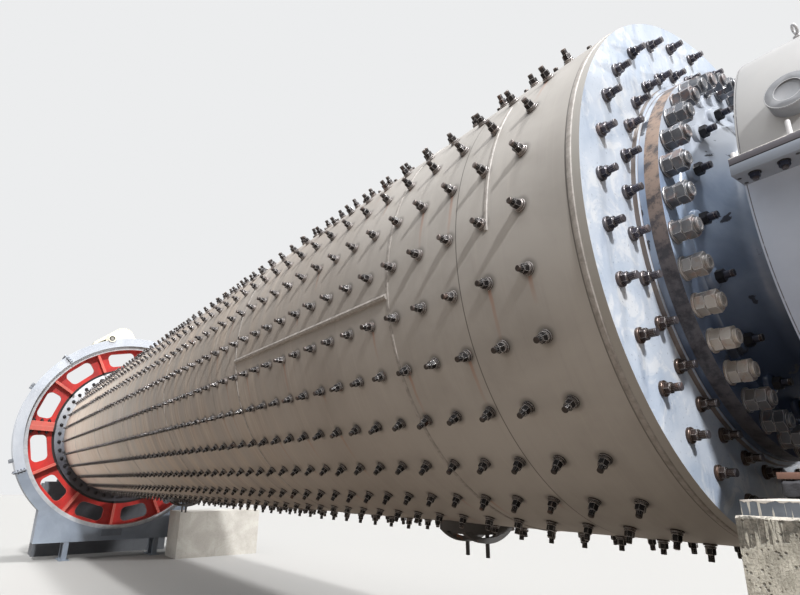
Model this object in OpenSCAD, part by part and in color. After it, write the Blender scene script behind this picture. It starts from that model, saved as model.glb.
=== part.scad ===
// Ball mill on two trunnion bearings, with its girth gear, gear guard and piers.
// The mill turns about a level axis along X. The floor is at z = 0.

/* [Drum] */
// Outer radius of the shell
shell_r = 1480; // [1440:10:1520]
// Length over the outer faces of the two heads
shell_len = 16000; // [15800:50:16400]
// Wall of the shell plate
shell_wall = 40; // [25:1:60]
// Length of the ring welded to each head
end_ring_len = 690; // [600:10:720]
// Length of the short course behind the near end ring
short_course_len = 645; // [500:5:700]
// Length of each full course
course_len = 2430; // [2380:5:2450]
// Thickness of the head plate
head_t = 60; // [50:1:90]
// Width of the hub face that shows round the trunnion flange
hub_edge = 21; // [17:1:42]
// Height of the raised hub face
hub_h = 21; // [10:1:30]
// Radius of the hole through the head
head_bore_r = 750; // [720:5:780]

/* [Trunnions] */
// Radius of the bolting flange
trunnion_flange_r = 1068; // [1060:1:1080]
// Thickness of the bolting flange
trunnion_flange_t = 55; // [40:1:70]
// Width of the flat ring that the nuts bear on
nut_land_w = 143; // [128:1:158]
// Distance from the head to the foot of the cone
cone_end = 230; // [215:5:245]
// Radius of the journal
journal_r = 645; // [630:5:660]
// Radius of the bore that the ground material passes through
trunnion_bore_r = 450; // [400:5:500]
// Height of the flange at the open end above the journal
end_flange_h = 75; // [60:1:110]
// Thickness of the flange at the open end
end_flange_t = 60; // [40:1:80]
// Distance from the bearing to the open end
trunnion_overhang = 150; // [130:5:200]
// Holes in the flange at the open end
end_hole_count = 12; // [8:1:16]
// Radius of each of those holes
end_hole_r = 13; // [8:0.5:16]
// Distance from the flange's edge to the middle of those holes
end_hole_inset = 35; // [28:1:42]

/* [Main bearings] */
// Distance from the head to the bearing housing
bearing_gap = 435; // [420:5:450]
// Length of the housing along the mill
bearing_len = 440; // [420:5:480]
// Outer radius of the housing
housing_r = 1030; // [1015:5:1045]
// Radius of the flatter arc over the cap's crown
crown_r = 1190; // [1150:10:1240]
// How far the crown lies under the housing's outer circle
crown_drop = 83; // [60:1:100]
// Wall of the cap and of its ends
cap_wall = 40; // [30:1:50]
// Width of the split flange outside the housing
split_flange_w = 116; // [100:1:130]
// Thickness of the cap's split flange
cap_flange_t = 32; // [25:1:40]
// Thickness of the lower split flange
base_flange_t = 45; // [35:1:55]
// Length of the lower bearing bush
bush_len = 380; // [340:5:390]
// Wall of the bush
bush_wall = 80; // [60:5:90]
// Angle that the bush covers
bush_angle = 150; // [120:5:160]
// Running gap between journal and bush
journal_gap = 0.3; // [0.2:0.05:0.5]
// Gap between the journal and the housing ends
seal_gap = 15; // [10:1:20]
// Radius of the round covers on the cap
cover_r = 84; // [70:1:96]
// Height of the round covers above the cap
cover_h = 60; // [40:5:70]
// Angle of the covers above the split
cover_angle = 14; // [12:1:25]
// Width of the raised rim round each cover
cover_rim = 37; // [30:1:42]
// Depth of the recess inside that rim
cover_recess = 5; // [3:1:8]

/* [Piers] */
// Height of the mill axis above the floor
axis_h = 3000; // [2900:10:3100]
// How far the bearing's foot plate reaches past the housing
foot_reach = 245; // [220:5:260]
// Space between the housing and the foot plate
foot_gap = 110; // [80:5:120]
// Thickness of the foot plate
foot_t = 20; // [16:1:30]
// Thickness of the bedding under the foot plate
bedding_t = 57; // [40:1:70]
// Thickness of the sole plate
sole_t = 40; // [30:1:60]
// How far the sole plate reaches past the foot plate
sole_reach = 276; // [225:1:295]
// How far the bearing pier reaches past the sole plate
pier_reach = 39; // [29:1:99]
// Length of the bearing pier along the mill
pier_len = 785; // [600:5:1000]
// Distance from the head to the bearing pier
pier_gap = 430; // [410:1:431]

/* [Girth gear] */
// Number of teeth
tooth_count = 192; // [160:2:224]
// Radius of the pitch circle
pitch_r = 2400; // [2395:1:2420]
// Thickness of the rim under the teeth
rim_wall = 124; // [100:1:140]
// Width of the rim along the mill
rim_w = 400; // [360:10:420]
// Thickness of the gear's web
web_t = 60; // [45:1:70]
// Number of spokes
spoke_count = 12; // [8:2:16]
// Thickness of each spoke
spoke_t = 60; // [40:5:80]
// Thickness of each flange at the two bolted joints
joint_flange_t = 110; // [90:5:130]
// Web left between the shell flange and the windows
window_inset_in = 150; // [130:1:175]
// Web left between the windows and the rim
window_inset_out = 60; // [50:1:90]
// Corner radius of the windows
window_corner_r = 115; // [90:5:135]
// Angle from a spoke's middle to the windows beside it
window_side = 6; // [5.5:0.25:7.5]
// Distance from the far head to the face of the shell flange
flange_place = 625; // [600:5:675]
// Height of the shell flange above the shell
flange_h = 213; // [190:1:220]
// Thickness of the shell flange
flange_t = 60; // [45:1:70]
// Angle of the gear joint above level
gear_clock = 2.5; // [0:0.5:10]

/* [Gear guard] */
// Space between the gear's teeth and the guard
guard_clear = 110; // [90:5:140]
// Width of the guard's side plates
guard_side_w = 210; // [200:1:225]
// Plate thickness of the guard
guard_t = 10; // [6:1:14]
// Space between the gear rim and the guard's side plates
guard_gap = 65; // [50:1:80]
// Height of the flanges where the guard's sections meet
guard_flange_h = 58; // [40:1:70]
// Thickness of those flanges
guard_flange_t = 12; // [8:1:16]
// Angle of the upper joints above level
guard_upper_joint = 46; // [40:1:50]
// Angle of the lower joints below level
guard_lower_joint = 23.5; // [20:0.5:28]
// Half width of the base under the guard
guard_base_half_w = 1725; // [1700:5:1750]
// Distance from the lowest point of the guard to the base's lower edge
guard_base_drop = 50; // [25:5:60]
// Side of each square leg
leg_w = 110; // [80:5:140]
// Distance of the legs from the middle
leg_place = 1025; // [900:5:1100]
// Width of each leg's foot
leg_foot_w = 230; // [180:5:260]
// Thickness of each leg's foot
leg_foot_t = 20; // [12:1:30]
// Rounding radius of the hood on top of the guard
hood_round_r = 270; // [255:5:285]
// Height of the hood's crown above the guard
hood_h = 245; // [240:5:275]
// Distance of the hood's crown from the middle
hood_round_place = 530; // [510:5:550]
// Distance of the hood's low edge from the middle
hood_foot = 1215; // [1190:5:1240]
// Height of the hood's low edge above the guard
hood_lip = 65; // [55:5:75]
// Depth of the slot in the hood's face beside the low edge
hood_slot_depth = 200; // [100:10:250]
// Radius of the round boss on the hood
hood_boss_r = 95; // [85:5:100]
// Radius of the bore in the boss
hood_bore_r = 68; // [60:2:75]
// Radius of the pin in that bore
hood_pin_r = 42; // [36:2:50]
// Distance of the boss from the middle
hood_boss_place = 795; // [780:5:810]
// Depth of the boss below the top of the guard
hood_boss_drop = 90; // [80:5:100]
// Width of the hatch plate on the guard's side
hatch_w = 460; // [400:10:480]
// Height of the hatch plate
hatch_h = 150; // [120:5:155]
// Distance from the hatch plate's low edge to the guard's edge
hatch_inset = 55; // [45:1:60]

/* [Drive pier] */
// Distance from the shell flange to the pier's far side
drive_pier_gap = 450; // [410:5:560]
// Length of the pier along the mill
drive_pier_len = 915; // [850:5:1000]
// Height of the pier
drive_pier_h = 1080; // [1000:10:1150]
// Distance from the mill axis to the near side of the pier
drive_pier_side = 1215; // [1150:5:1300]
// Width of the pier
drive_pier_w = 2085; // [2000:5:2150]

/* [Manholes] */
// Distance from the near head to the first manhole
manhole_place_1 = 2220; // [1900:10:2500]
// Distance from the near head to the second manhole
manhole_place_2 = 9750; // [9500:10:10000]
// Radius of the seat ring
manhole_seat_r = 290; // [260:5:320]
// Radius of the door
manhole_door_r = 225; // [200:5:240]
// Radius of each yoke stud
yoke_stud_r = 16; // [12:1:20]

/* [Hidden] */
$fn = 96;

steel_gray = "#8e8983";
guard_gray = "#8593a5";
gear_red = "#c1392f";
pier_gray = "#b9b5ae";
bearing_gray = "#a9aaab";

// Gear radii, and the guard's from them
module_size = 2 * pitch_r / tooth_count;
tip_r = pitch_r + module_size;
root_r = pitch_r - 1.25 * module_size;
guard_r = tip_r + guard_clear + guard_t;

// The footprint's middle is the origin, so the axis lies to one side of it.
axis_y = (guard_r - drive_pier_side - drive_pier_w) / 2;
near_face = shell_len / 2;
far_course_len = shell_len - 2 * head_t - 2 * end_ring_len - short_course_len - 5 * course_len;
course_start = near_face - head_t - end_ring_len - short_course_len;

// Trunnion stations, measured outwards from the head
flange_face = hub_h + trunnion_flange_t;
hub_r = trunnion_flange_r + hub_edge;
nut_land_r = trunnion_flange_r - nut_land_w;
end_flange_r = journal_r + end_flange_h;
end_hole_ring = end_flange_r - end_hole_inset;
bearing_end = bearing_gap + bearing_len;
trunnion_end = bearing_end + trunnion_overhang;
spigot_gap = 0.3;
land_fillet = 40;
cone_fillet = 70;

// Half widths over the split flange and what the bearing stands on
split_half_w = housing_r + split_flange_w;
foot_half_w = housing_r + foot_reach;
sole_half_w = foot_half_w + sole_reach;
pier_half_w = sole_half_w + pier_reach;

// Depths below the axis
foot_drop = housing_r + foot_gap;
foot_bottom = foot_drop + foot_t;
bedding_bottom = foot_bottom + bedding_t;
pier_top = bedding_bottom + sole_t;
bedding_margin = 20;

// Gear stations
rim_inner_r = root_r - rim_wall;
flange_r = shell_r + flange_h;
flange_x = flange_place - near_face;
web_x = flange_x - flange_t - web_t;
rim_x = web_x + web_t / 2 - rim_w / 2;
web_inner_r = shell_r + 40;
spoke_inner_r = flange_r + 12;
window_in_r = flange_r + window_inset_in;
window_out_r = rim_inner_r - window_inset_out;
spoke_inset = 25;
spoke_step = 360 / spoke_count;

// Guard stations
guard_inner_r = guard_r - guard_side_w;
guard_x = rim_x - guard_gap - guard_t;
guard_w = rim_w + 2 * guard_gap + 2 * guard_t;
guard_base_low = -guard_r - guard_base_drop;
guard_base_high = -sqrt(pow(guard_r, 2) - pow(guard_base_half_w, 2));
rail_h = 60;

// Shapes drawn in the plane across the mill: local x is +Y, local y is +Z, and they grow along +X.
module across(x) {
    translate([x, axis_y, axis_h]) rotate([90, 0, 90]) children();
}

module ring(x, len, outer_r, inner_r) {
    across(x) difference() {
        cylinder(h = len, r = outer_r);
        translate([0, 0, -1]) cylinder(h = len + 2, r = inner_r);
    }
}

// A wedge of the plane across the mill, from one angle to another
module wedge(from, to, reach) {
    steps = ceil((to - from) / 30);
    points = [for (i = [0 : steps]) let (a = from + (to - from) * i / steps) [cos(a), sin(a)]];
    polygon(concat([[0, 0]], points * reach));
}

module course(end_x, len) {
    color(steel_gray) ring(end_x - len, len, shell_r, shell_r - shell_wall);
}

module near_end_ring() course(near_face - head_t, end_ring_len);

module near_short_course() course(near_face - head_t - end_ring_len, short_course_len);

module shell_course(n) course(course_start - (n - 1) * course_len, course_len);

module far_short_course() course(course_start - 5 * course_len, far_course_len);

module far_end_ring() course(-near_face + head_t + end_ring_len, end_ring_len);

module head() {
    color("#aab4c2") across(near_face - head_t) difference() {
        union() {
            cylinder(h = head_t, r = shell_r);
            cylinder(h = head_t + hub_h, r = hub_r);
        }
        translate([0, 0, -1]) cylinder(h = head_t + hub_h + 2, r = head_bore_r);
    }
}

// Points of an arc, for the rounded parts of a turned profile
function arc(center, radius, from, to, steps = 6) =
    [for (i = [0 : steps]) let (a = from + (to - from) * i / steps)
        center + radius * [cos(a), sin(a)]];

module trunnion_profile() {
    spigot_r = head_bore_r - spigot_gap;
    cone_angle = atan2(nut_land_r - journal_r, cone_end - flange_face);
    polygon(concat(
        [[trunnion_bore_r + 200, -head_t], [spigot_r, -head_t], [spigot_r, hub_h]],
        [[trunnion_flange_r, hub_h], [trunnion_flange_r, flange_face]],
        arc([nut_land_r, flange_face + land_fillet], land_fillet, -90, -180 + 0.5 * cone_angle, 4),
        arc([journal_r + cone_fillet, cone_end + cone_fillet], cone_fillet, -180 + cone_angle, -180),
        [[journal_r, trunnion_end - end_flange_t], [end_flange_r, trunnion_end - end_flange_t]],
        [[end_flange_r, trunnion_end], [trunnion_bore_r, trunnion_end]],
        [[trunnion_bore_r, cone_end]]
    ));
}

module trunnion() {
    color("#77808f") across(near_face) difference() {
        rotate_extrude() trunnion_profile();
        for (i = [0 : end_hole_count - 1])
            rotate(i * 360 / end_hole_count)
                translate([end_hole_ring, 0, trunnion_end - end_flange_t - 1])
                    cylinder(h = end_flange_t + 2, r = end_hole_r, $fn = 32);
    }
}

module bearing_split_flange(low, high) {
    translate([-split_half_w, low, 0]) cube([2 * split_half_w, high - low, bearing_len]);
}

// Keeps what lies above or below the split
module half(up) {
    intersection() {
        children();
        translate([-2 * housing_r, up ? 0 : -2 * housing_r, -bearing_len])
            cube([4 * housing_r, 2 * housing_r, 3 * bearing_len]);
    }
}

module bearing_base() {
    gusset_t = 36;
    gusset_top = 0.675 * housing_r;
    color(bearing_gray) across(near_face + bearing_gap) difference() {
        union() {
            half(false) cylinder(h = bearing_len, r = housing_r);
            bearing_split_flange(-base_flange_t, 0);
            translate([-foot_half_w, -foot_bottom, 0]) cube([2 * foot_half_w, foot_t, bearing_len]);
            for (z = [0, (bearing_len - gusset_t) / 2, bearing_len - gusset_t])
                translate([0, 0, z]) linear_extrude(gusset_t)
                    polygon([[-foot_half_w + 250, -foot_drop], [foot_half_w - 250, -foot_drop],
                        [0.74 * housing_r, -gusset_top], [-0.74 * housing_r, -gusset_top]]);
        }
        translate([0, 0, -1]) cylinder(h = bearing_len + 2, r = journal_r + seal_gap);
        translate([0, 0, (bearing_len - bush_len) / 2])
            cylinder(h = bush_len, r = journal_r + journal_gap + bush_wall);
    }
}

// The cap's outline is the housing's circle, cut flatter over the crown.
module cap_form(len, inset) {
    intersection() {
        cylinder(h = len, r = housing_r - inset);
        translate([0, housing_r - crown_drop - crown_r, 0]) cylinder(h = len, r = crown_r - inset);
    }
}

module bearing_cap() {
    color(bearing_gray) across(near_face + bearing_gap) difference() {
        union() {
            half(true) cap_form(bearing_len, 0);
            bearing_split_flange(0, cap_flange_t);
        }
        translate([0, 0, -1]) cylinder(h = bearing_len + 2, r = journal_r + seal_gap);
        translate([0, 0, cap_wall]) cap_form(bearing_len - 2 * cap_wall, cap_wall);
    }
}

module bush() {
    inner_r = journal_r + journal_gap;
    color("#b8a27a") across(near_face + bearing_gap + (bearing_len - bush_len) / 2)
        linear_extrude(bush_len) intersection() {
            difference() {
                circle(r = inner_r + bush_wall);
                circle(r = inner_r);
            }
            wedge(-90 - bush_angle / 2, -90 + bush_angle / 2, 2 * housing_r);
        }
}

module cap_covers() {
    color("#9fa3a8") across(near_face + bearing_gap) difference() {
        for (a = [cover_angle, 180 - cover_angle])
            rotate(a) translate([housing_r - 60, 0, bearing_len / 2]) rotate([0, 90, 0]) difference() {
                cylinder(h = 60 + cover_h, r = cover_r);
                translate([0, 0, 60 + cover_h - cover_recess])
                    cylinder(h = cover_recess + 1, r = cover_r - cover_rim);
            }
        translate([0, 0, -1]) cylinder(h = bearing_len + 2, r = housing_r);
    }
}

module seals() {
    seal_t = 24;
    seal_r = journal_r + 100;
    color("#6d7178") for (x = [bearing_gap - seal_t, bearing_end])
        ring(near_face + x, seal_t, seal_r, journal_r + 5);
}

module sole_plate() {
    margin = 3;
    color("#8f8f8d") across(near_face + bearing_gap - margin)
        translate([-sole_half_w, -pier_top, 0])
            cube([2 * sole_half_w, sole_t, bearing_len + 2 * margin]);
}

module bedding() {
    half_w = foot_half_w + bedding_margin;
    color("#a8a399") across(near_face + bearing_gap)
        translate([-half_w, -bedding_bottom, 0]) cube([2 * half_w, bedding_t, bearing_len]);
}

module pier() {
    bevel = 6;
    h = axis_h - pier_top;
    color(pier_gray) translate([near_face + pier_gap, axis_y, 0]) rotate([90, 0, 90])
        linear_extrude(pier_len) polygon([
            [-pier_half_w, 0], [pier_half_w, 0], [pier_half_w, h - bevel], [pier_half_w - bevel, h],
            [bevel - pier_half_w, h], [-pier_half_w, h - bevel]
        ]);
}

module shell_flange() {
    color("#7c8696") ring(flange_x - flange_t, flange_t, flange_r, shell_r);
}

// One tooth space is left between each pair of teeth, so the flanks meet the root circle.
function tooth(a) = let (q = 90 / tooth_count) [
    root_r * [cos(a - 1.25 * q), sin(a - 1.25 * q)],
    pitch_r * [cos(a - 0.98 * q), sin(a - 0.98 * q)],
    tip_r * [cos(a - 0.52 * q), sin(a - 0.52 * q)],
    tip_r * [cos(a + 0.52 * q), sin(a + 0.52 * q)],
    pitch_r * [cos(a + 0.98 * q), sin(a + 0.98 * q)],
    root_r * [cos(a + 1.25 * q), sin(a + 1.25 * q)]
];

// The toothed outline of one half, with a tooth space at each joint
module toothed_half() {
    step = 360 / tooth_count;
    outline = [for (i = [0 : tooth_count / 2 - 1]) each tooth((i + 0.5) * step)];
    polygon(concat([[root_r, 0]], outline, [[-root_r, 0]]));
}

// A window with rounded corners between two spokes
module gear_window() {
    half_angle = spoke_step / 2 - window_side;
    c = window_corner_r;
    corner_in = window_in_r + c;
    corner_out = window_out_r - c;
    in_a = half_angle - asin(c / corner_in);
    out_a = half_angle - asin(c / corner_out);
    hull() for (p = [[corner_in, in_a], [corner_out, out_a]], side = [-1, 1])
        rotate(side * p[1]) translate([p[0], 0]) circle(r = c, $fn = 40);
}

module gear_half() {
    joint_w = 2 * joint_flange_t;
    across(web_x) rotate(180 - gear_clock) {
        difference() {
            linear_extrude(web_t) intersection() {
                difference() {
                    circle(r = rim_inner_r + 5);
                    circle(r = web_inner_r);
                }
                translate([-rim_inner_r - 10, 0]) square([2 * rim_inner_r + 20, rim_inner_r + 10]);
            }
            for (i = [0 : spoke_count / 2 - 1])
                rotate((i + 0.5) * spoke_step) translate([0, 0, -1]) linear_extrude(web_t + 2) gear_window();
        }
        translate([0, 0, (web_t - rim_w) / 2]) linear_extrude(rim_w) difference() {
            toothed_half();
            circle(r = rim_inner_r);
        }
        for (i = [1 : spoke_count / 2 - 1])
            rotate(i * spoke_step) spoke(-spoke_t / 2, spoke_t);
        spoke(0, joint_flange_t);
        rotate(180) spoke(-joint_flange_t, joint_flange_t);
    }
}

// A radial plate across the web, from the shell flange to the rim
module spoke(side, t) {
    depth = rim_w - 2 * spoke_inset;
    translate([spoke_inner_r, side, (web_t - depth) / 2])
        cube([rim_inner_r - spoke_inner_r + 5, t, depth]);
}

module girth_gear_lower() color(gear_red) gear_half();

module girth_gear_upper() color(gear_red) translate([0, axis_y, axis_h]) rotate([180, 0, 0])
    translate([0, -axis_y, -axis_h]) gear_half();

// A C-shaped length of guard between two angles, with a flange at each end
module guard_section(from, to) {
    reach = guard_flange_h + guard_t / 2;
    color(guard_gray) across(guard_x) difference() {
        linear_extrude(guard_w) intersection() {
            union() {
                difference() {
                    circle(r = guard_r, $fn = 360);
                    circle(r = guard_inner_r, $fn = 360);
                }
                for (a = [from, to])
                    rotate(a) translate([guard_r - guard_t / 2, -guard_flange_t])
                        square([reach, 2 * guard_flange_t]);
            }
            wedge(from, to, 2 * guard_r);
        }
        translate([0, 0, guard_t]) cylinder(h = guard_w - 2 * guard_t, r = guard_r - guard_t, $fn = 360);
    }
}

module guard_top() guard_section(guard_upper_joint, 180 - guard_upper_joint);

module guard_rear() guard_section(-guard_lower_joint, guard_upper_joint);

module guard_front() guard_section(180 - guard_upper_joint, 180 + guard_lower_joint);

module guard_bottom() guard_section(180 + guard_lower_joint, 360 - guard_lower_joint);

module guard_hatch() {
    color("#7d8a9b") across(guard_x + guard_w)
        translate([-0.65 * hatch_w, hatch_inset - guard_r, 0]) cube([hatch_w, hatch_h, 8]);
}

// Height on the guard's outer circle at a distance from the middle
function guard_height(y) = sqrt(pow(guard_r, 2) - pow(y, 2));

module hood_profile() {
    crown = [-hood_round_place, guard_r + hood_h - hood_round_r];
    foot = [-hood_foot, guard_height(hood_foot)];
    tail = [-hood_round_r / 2, guard_r - hood_round_r / 2];
    difference() {
        polygon(concat(
            [foot - [0, hood_lip], foot + [0, hood_lip]], arc(crown, hood_round_r, 130, 42, 10), [tail]
        ));
        circle(r = guard_r, $fn = 720);
    }
}

// The thin wedge that stays open between the hood's low edge and the guard
module hood_slot() {
    low = hood_foot - hood_lip;
    high = hood_boss_place + 1.5 * hood_boss_r;
    difference() {
        polygon([[-low, guard_height(low) - hood_lip], [-low, guard_height(low) + 4],
            [-high, guard_height(high) + hood_lip - 8], [-high, guard_height(high) - hood_lip]]);
        circle(r = guard_r + 6, $fn = 720);
    }
}

module guard_hood() {
    boss = [-hood_boss_place, guard_r - hood_boss_drop, guard_w];
    color("#c9c6bb") across(guard_x) {
        difference() {
            union() {
                linear_extrude(guard_w) hood_profile();
                translate(boss) cylinder(h = 25, r = hood_boss_r);
            }
            translate([0, 0, guard_w - hood_slot_depth]) linear_extrude(hood_slot_depth + 1) hood_slot();
            translate(boss) cylinder(h = 26, r = hood_bore_r);
        }
        translate(boss) cylinder(h = 32, r = hood_pin_r);
    }
}

// The open-bottomed base that the guard stands on, with its legs
module guard_base() {
    skirt_h = guard_base_high - guard_base_low;
    color(guard_gray) across(guard_x) {
        for (x = [0, guard_w - guard_t])
            translate([0, 0, x]) linear_extrude(guard_t) difference() {
                translate([-guard_base_half_w, guard_base_low])
                    square([2 * guard_base_half_w, skirt_h + 50]);
                circle(r = guard_r, $fn = 360);
            }
        for (side = [-guard_base_half_w, guard_base_half_w - guard_t])
            translate([side, guard_base_low, 0]) cube([guard_t, skirt_h - 12, guard_w]);
        for (x = [guard_t, guard_w - guard_t - leg_w])
            for (y = [-leg_place, leg_place])
                translate([y - leg_w / 2, leg_foot_t - axis_h, x])
                    cube([leg_w, guard_base_low + axis_h + rail_h - leg_foot_t, leg_w]);
        for (x = [guard_t, guard_w - guard_t - leg_w])
            for (y = [-leg_place, leg_place])
                translate([y - leg_foot_w / 2, -axis_h, x + (leg_w - leg_foot_w) / 2])
                    cube([leg_foot_w, leg_foot_t, leg_foot_w]);
    }
}

module drive_pier() {
    color(pier_gray) translate([flange_x + drive_pier_gap, axis_y + drive_pier_side, 0])
        cube([drive_pier_len, drive_pier_w, drive_pier_h]);
}

// A door in the underside of the shell, held by two arched yokes and their studs
module manhole(place) {
    seat_h = 45;
    yoke_w = 50;
    yoke_rise = 95;
    yoke_span = 2 * manhole_seat_r - 40;
    color("#4c4a48") translate([near_face - place, axis_y, axis_h]) rotate([180, 0, 0]) difference() {
        union() {
            cylinder(h = shell_r + seat_h, r = manhole_seat_r);
            cylinder(h = shell_r + seat_h + 22, r = manhole_door_r);
            for (x = [-110, 110]) {
                translate([x - yoke_w / 2, 0, shell_r + seat_h]) rotate([90, 0, 90])
                    linear_extrude(yoke_w) difference() {
                        intersection() {
                            translate([0, yoke_rise - 400]) circle(r = 400);
                            translate([-yoke_span / 2, 0]) square([yoke_span, 200]);
                        }
                        translate([0, yoke_rise - 440]) circle(r = 400);
                    }
                translate([x, 0, shell_r]) cylinder(h = 240, r = yoke_stud_r);
            }
        }
        translate([-manhole_seat_r - 10, 0, 0]) rotate([0, 90, 0])
            cylinder(h = 2 * manhole_seat_r + 20, r = shell_r);
    }
}

module far_end() mirror([1, 0, 0]) children();

pier();  // near_pier
sole_plate();  // near_sole_plate
bedding();  // near_bedding
bearing_base();  // near_bearing_base
bearing_cap();  // near_bearing_cap
bush();  // near_bush
cap_covers();  // near_cap_covers
seals();  // near_seals
far_end() pier();  // far_pier
far_end() sole_plate();  // far_sole_plate
far_end() bedding();  // far_bedding
far_end() bearing_base();  // far_bearing_base
far_end() bearing_cap();  // far_bearing_cap
far_end() bush();  // far_bush
far_end() cap_covers();  // far_cap_covers
far_end() seals();  // far_seals
near_end_ring();
near_short_course();
shell_course(1);  // shell_course_1
shell_course(2);  // shell_course_2
shell_course(3);  // shell_course_3
shell_course(4);  // shell_course_4
shell_course(5);  // shell_course_5
far_short_course();
far_end_ring();
head();  // near_head
far_end() head();  // far_head
trunnion();  // near_trunnion
far_end() trunnion();  // far_trunnion
shell_flange();
girth_gear_upper();
girth_gear_lower();
manhole(manhole_place_1);  // manhole_1
manhole(manhole_place_2);  // manhole_2
guard_top();
guard_front();
guard_rear();
guard_bottom();
guard_hatch();
guard_hood();
guard_base();
drive_pier();
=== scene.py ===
import bpy
import math
import random
from mathutils import Matrix, Vector


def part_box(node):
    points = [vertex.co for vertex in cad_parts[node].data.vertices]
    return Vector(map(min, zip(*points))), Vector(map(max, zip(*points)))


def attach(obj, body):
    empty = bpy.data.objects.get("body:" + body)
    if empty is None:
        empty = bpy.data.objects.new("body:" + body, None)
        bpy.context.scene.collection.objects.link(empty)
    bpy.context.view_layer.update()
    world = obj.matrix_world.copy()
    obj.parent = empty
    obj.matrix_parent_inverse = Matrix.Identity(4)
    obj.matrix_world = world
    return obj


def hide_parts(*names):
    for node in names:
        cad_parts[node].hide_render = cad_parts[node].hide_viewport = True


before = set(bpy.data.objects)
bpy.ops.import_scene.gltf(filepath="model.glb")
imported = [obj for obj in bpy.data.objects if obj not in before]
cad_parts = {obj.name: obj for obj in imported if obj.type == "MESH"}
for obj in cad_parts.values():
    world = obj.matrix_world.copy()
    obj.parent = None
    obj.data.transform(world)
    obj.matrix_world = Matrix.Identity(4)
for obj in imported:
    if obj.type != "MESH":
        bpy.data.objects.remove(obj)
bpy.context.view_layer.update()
print("frame loaded with", len(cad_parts), "nodes")

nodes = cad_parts
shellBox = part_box("shell_course_1")
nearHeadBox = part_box("near_head")
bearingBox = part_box("near_bearing_cap")
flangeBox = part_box("shell_flange")
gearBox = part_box("girth_gear_upper")
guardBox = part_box("guard_top")
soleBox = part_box("near_sole_plate")
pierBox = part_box("near_pier")

# The mill's own places, read from the frame
mill = {
    "axisY": (shellBox[0].y + shellBox[1].y) / 2,
    "axisZ": (shellBox[0].z + shellBox[1].z) / 2,
    "shellR": (shellBox[1].z - shellBox[0].z) / 2,
    "headX": nearHeadBox[0].x + 0.06,      # outer face of the near head plate, 60 mm thick
    "flangeX": flangeBox[1].x,             # face of the shell flange that looks to the near end
    "flangeOut": 0.121,                    # from the head to the face of a trunnion's flange
    "bearingX": (bearingBox[0].x + bearingBox[1].x) / 2,
    "gearX": (gearBox[0].x + gearBox[1].x) / 2,
    "boltRows": 30,
    "firstRow": -10.34,                    # angle of one row of liner bolts, in degrees
    "firstBolt": 0.33,                     # from the near head to the first liner bolt
    "boltPitch": 0.25,
    "boltColumns": 60,
}
ends = (("near", 1), ("far", -1))
seed = random.Random(1623)


# Selecting and joining


def deselect():
    if bpy.context.mode != "OBJECT":
        bpy.ops.object.mode_set(mode="OBJECT")
    bpy.ops.object.select_all(action="DESELECT")


def activate(piece):
    deselect()
    piece.select_set(True)
    bpy.context.view_layer.objects.active = piece


def setAll(target, settings):
    for key, value in settings.items():
        setattr(target, key, value)
    return target


def editAll():
    bpy.ops.object.mode_set(mode="EDIT")
    bpy.ops.mesh.select_all(action="SELECT")


def modified(piece, kind, **settings):
    # Gives the piece a modifier and applies it
    activate(piece)
    setAll(piece.modifiers.new("step", kind), settings)
    bpy.ops.object.modifier_apply(modifier="step")


def settle(piece, name):
    # The place goes into the mesh, so that the object sits at the origin
    activate(piece)
    bpy.ops.object.transform_apply(location=True, rotation=True, scale=True)
    piece.name = name
    piece.data.name = name
    return piece


def joined(pieces, name):
    deselect()
    for piece in pieces:
        piece.select_set(True)
    bpy.context.view_layer.objects.active = pieces[0]
    if len(pieces) > 1:
        bpy.ops.object.join()
    return settle(bpy.context.object, name)


def copied(source, place):
    piece = source.copy()
    piece.data = source.data.copy()
    piece.data.transform(place)
    bpy.context.scene.collection.objects.link(piece)
    return piece


def spread(source, name, places):
    return joined([copied(source, place) for place in places], name)


def discard(*pieces):
    for piece in pieces:
        bpy.data.objects.remove(piece)


def smooth(piece, angle=30.0):
    activate(piece)
    bpy.ops.object.shade_smooth_by_angle(angle=math.radians(angle))
    return piece


def coat(piece, material):
    piece.data.materials.clear()
    piece.data.materials.append(material)
    return piece


# Places round the mill: angle 0 is level on the camera's side, and 90 is the top

alongMill = Vector((1, 0, 0))


def outwardAt(angle):
    a = math.radians(angle)
    return Vector((0, -math.cos(a), math.sin(a)))


def acrossAt(angle):
    a = math.radians(angle)
    return Vector((0, math.sin(a), math.cos(a)))


def aroundMill(x, angle, radius):
    return Vector((x, mill["axisY"], mill["axisZ"])) + outwardAt(angle) * radius


def framed(origin, up, along, turn=0.0):
    # A matrix that stands a piece on origin with its z axis along up
    z = up.normalized()
    x = (along - z * along.dot(z)).normalized()
    y = z.cross(x)
    turnMatrix = Matrix.Rotation(math.radians(turn), 4, "Z")
    return Matrix.Translation(origin) @ Matrix((x, y, z)).transposed().to_4x4() @ turnMatrix


def radialPlace(x, angle, radius, turn=0.0):
    return framed(aroundMill(x, angle, radius), outwardAt(angle), alongMill, turn)


def axialPlace(x, angle, radius, turn=0.0, direction=1):
    return framed(aroundMill(x, angle, radius), alongMill * direction, outwardAt(angle), turn)


def acrossPlace(x, angle, radius, side, away, along=alongMill):
    # A place on one face of a plate that stands out from the axis
    spot = aroundMill(x, angle, radius) + acrossAt(angle) * (side * away)
    return framed(spot, acrossAt(angle) * side, along, seed.uniform(0, 60))


# Basic shapes, drawn by operators


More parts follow.
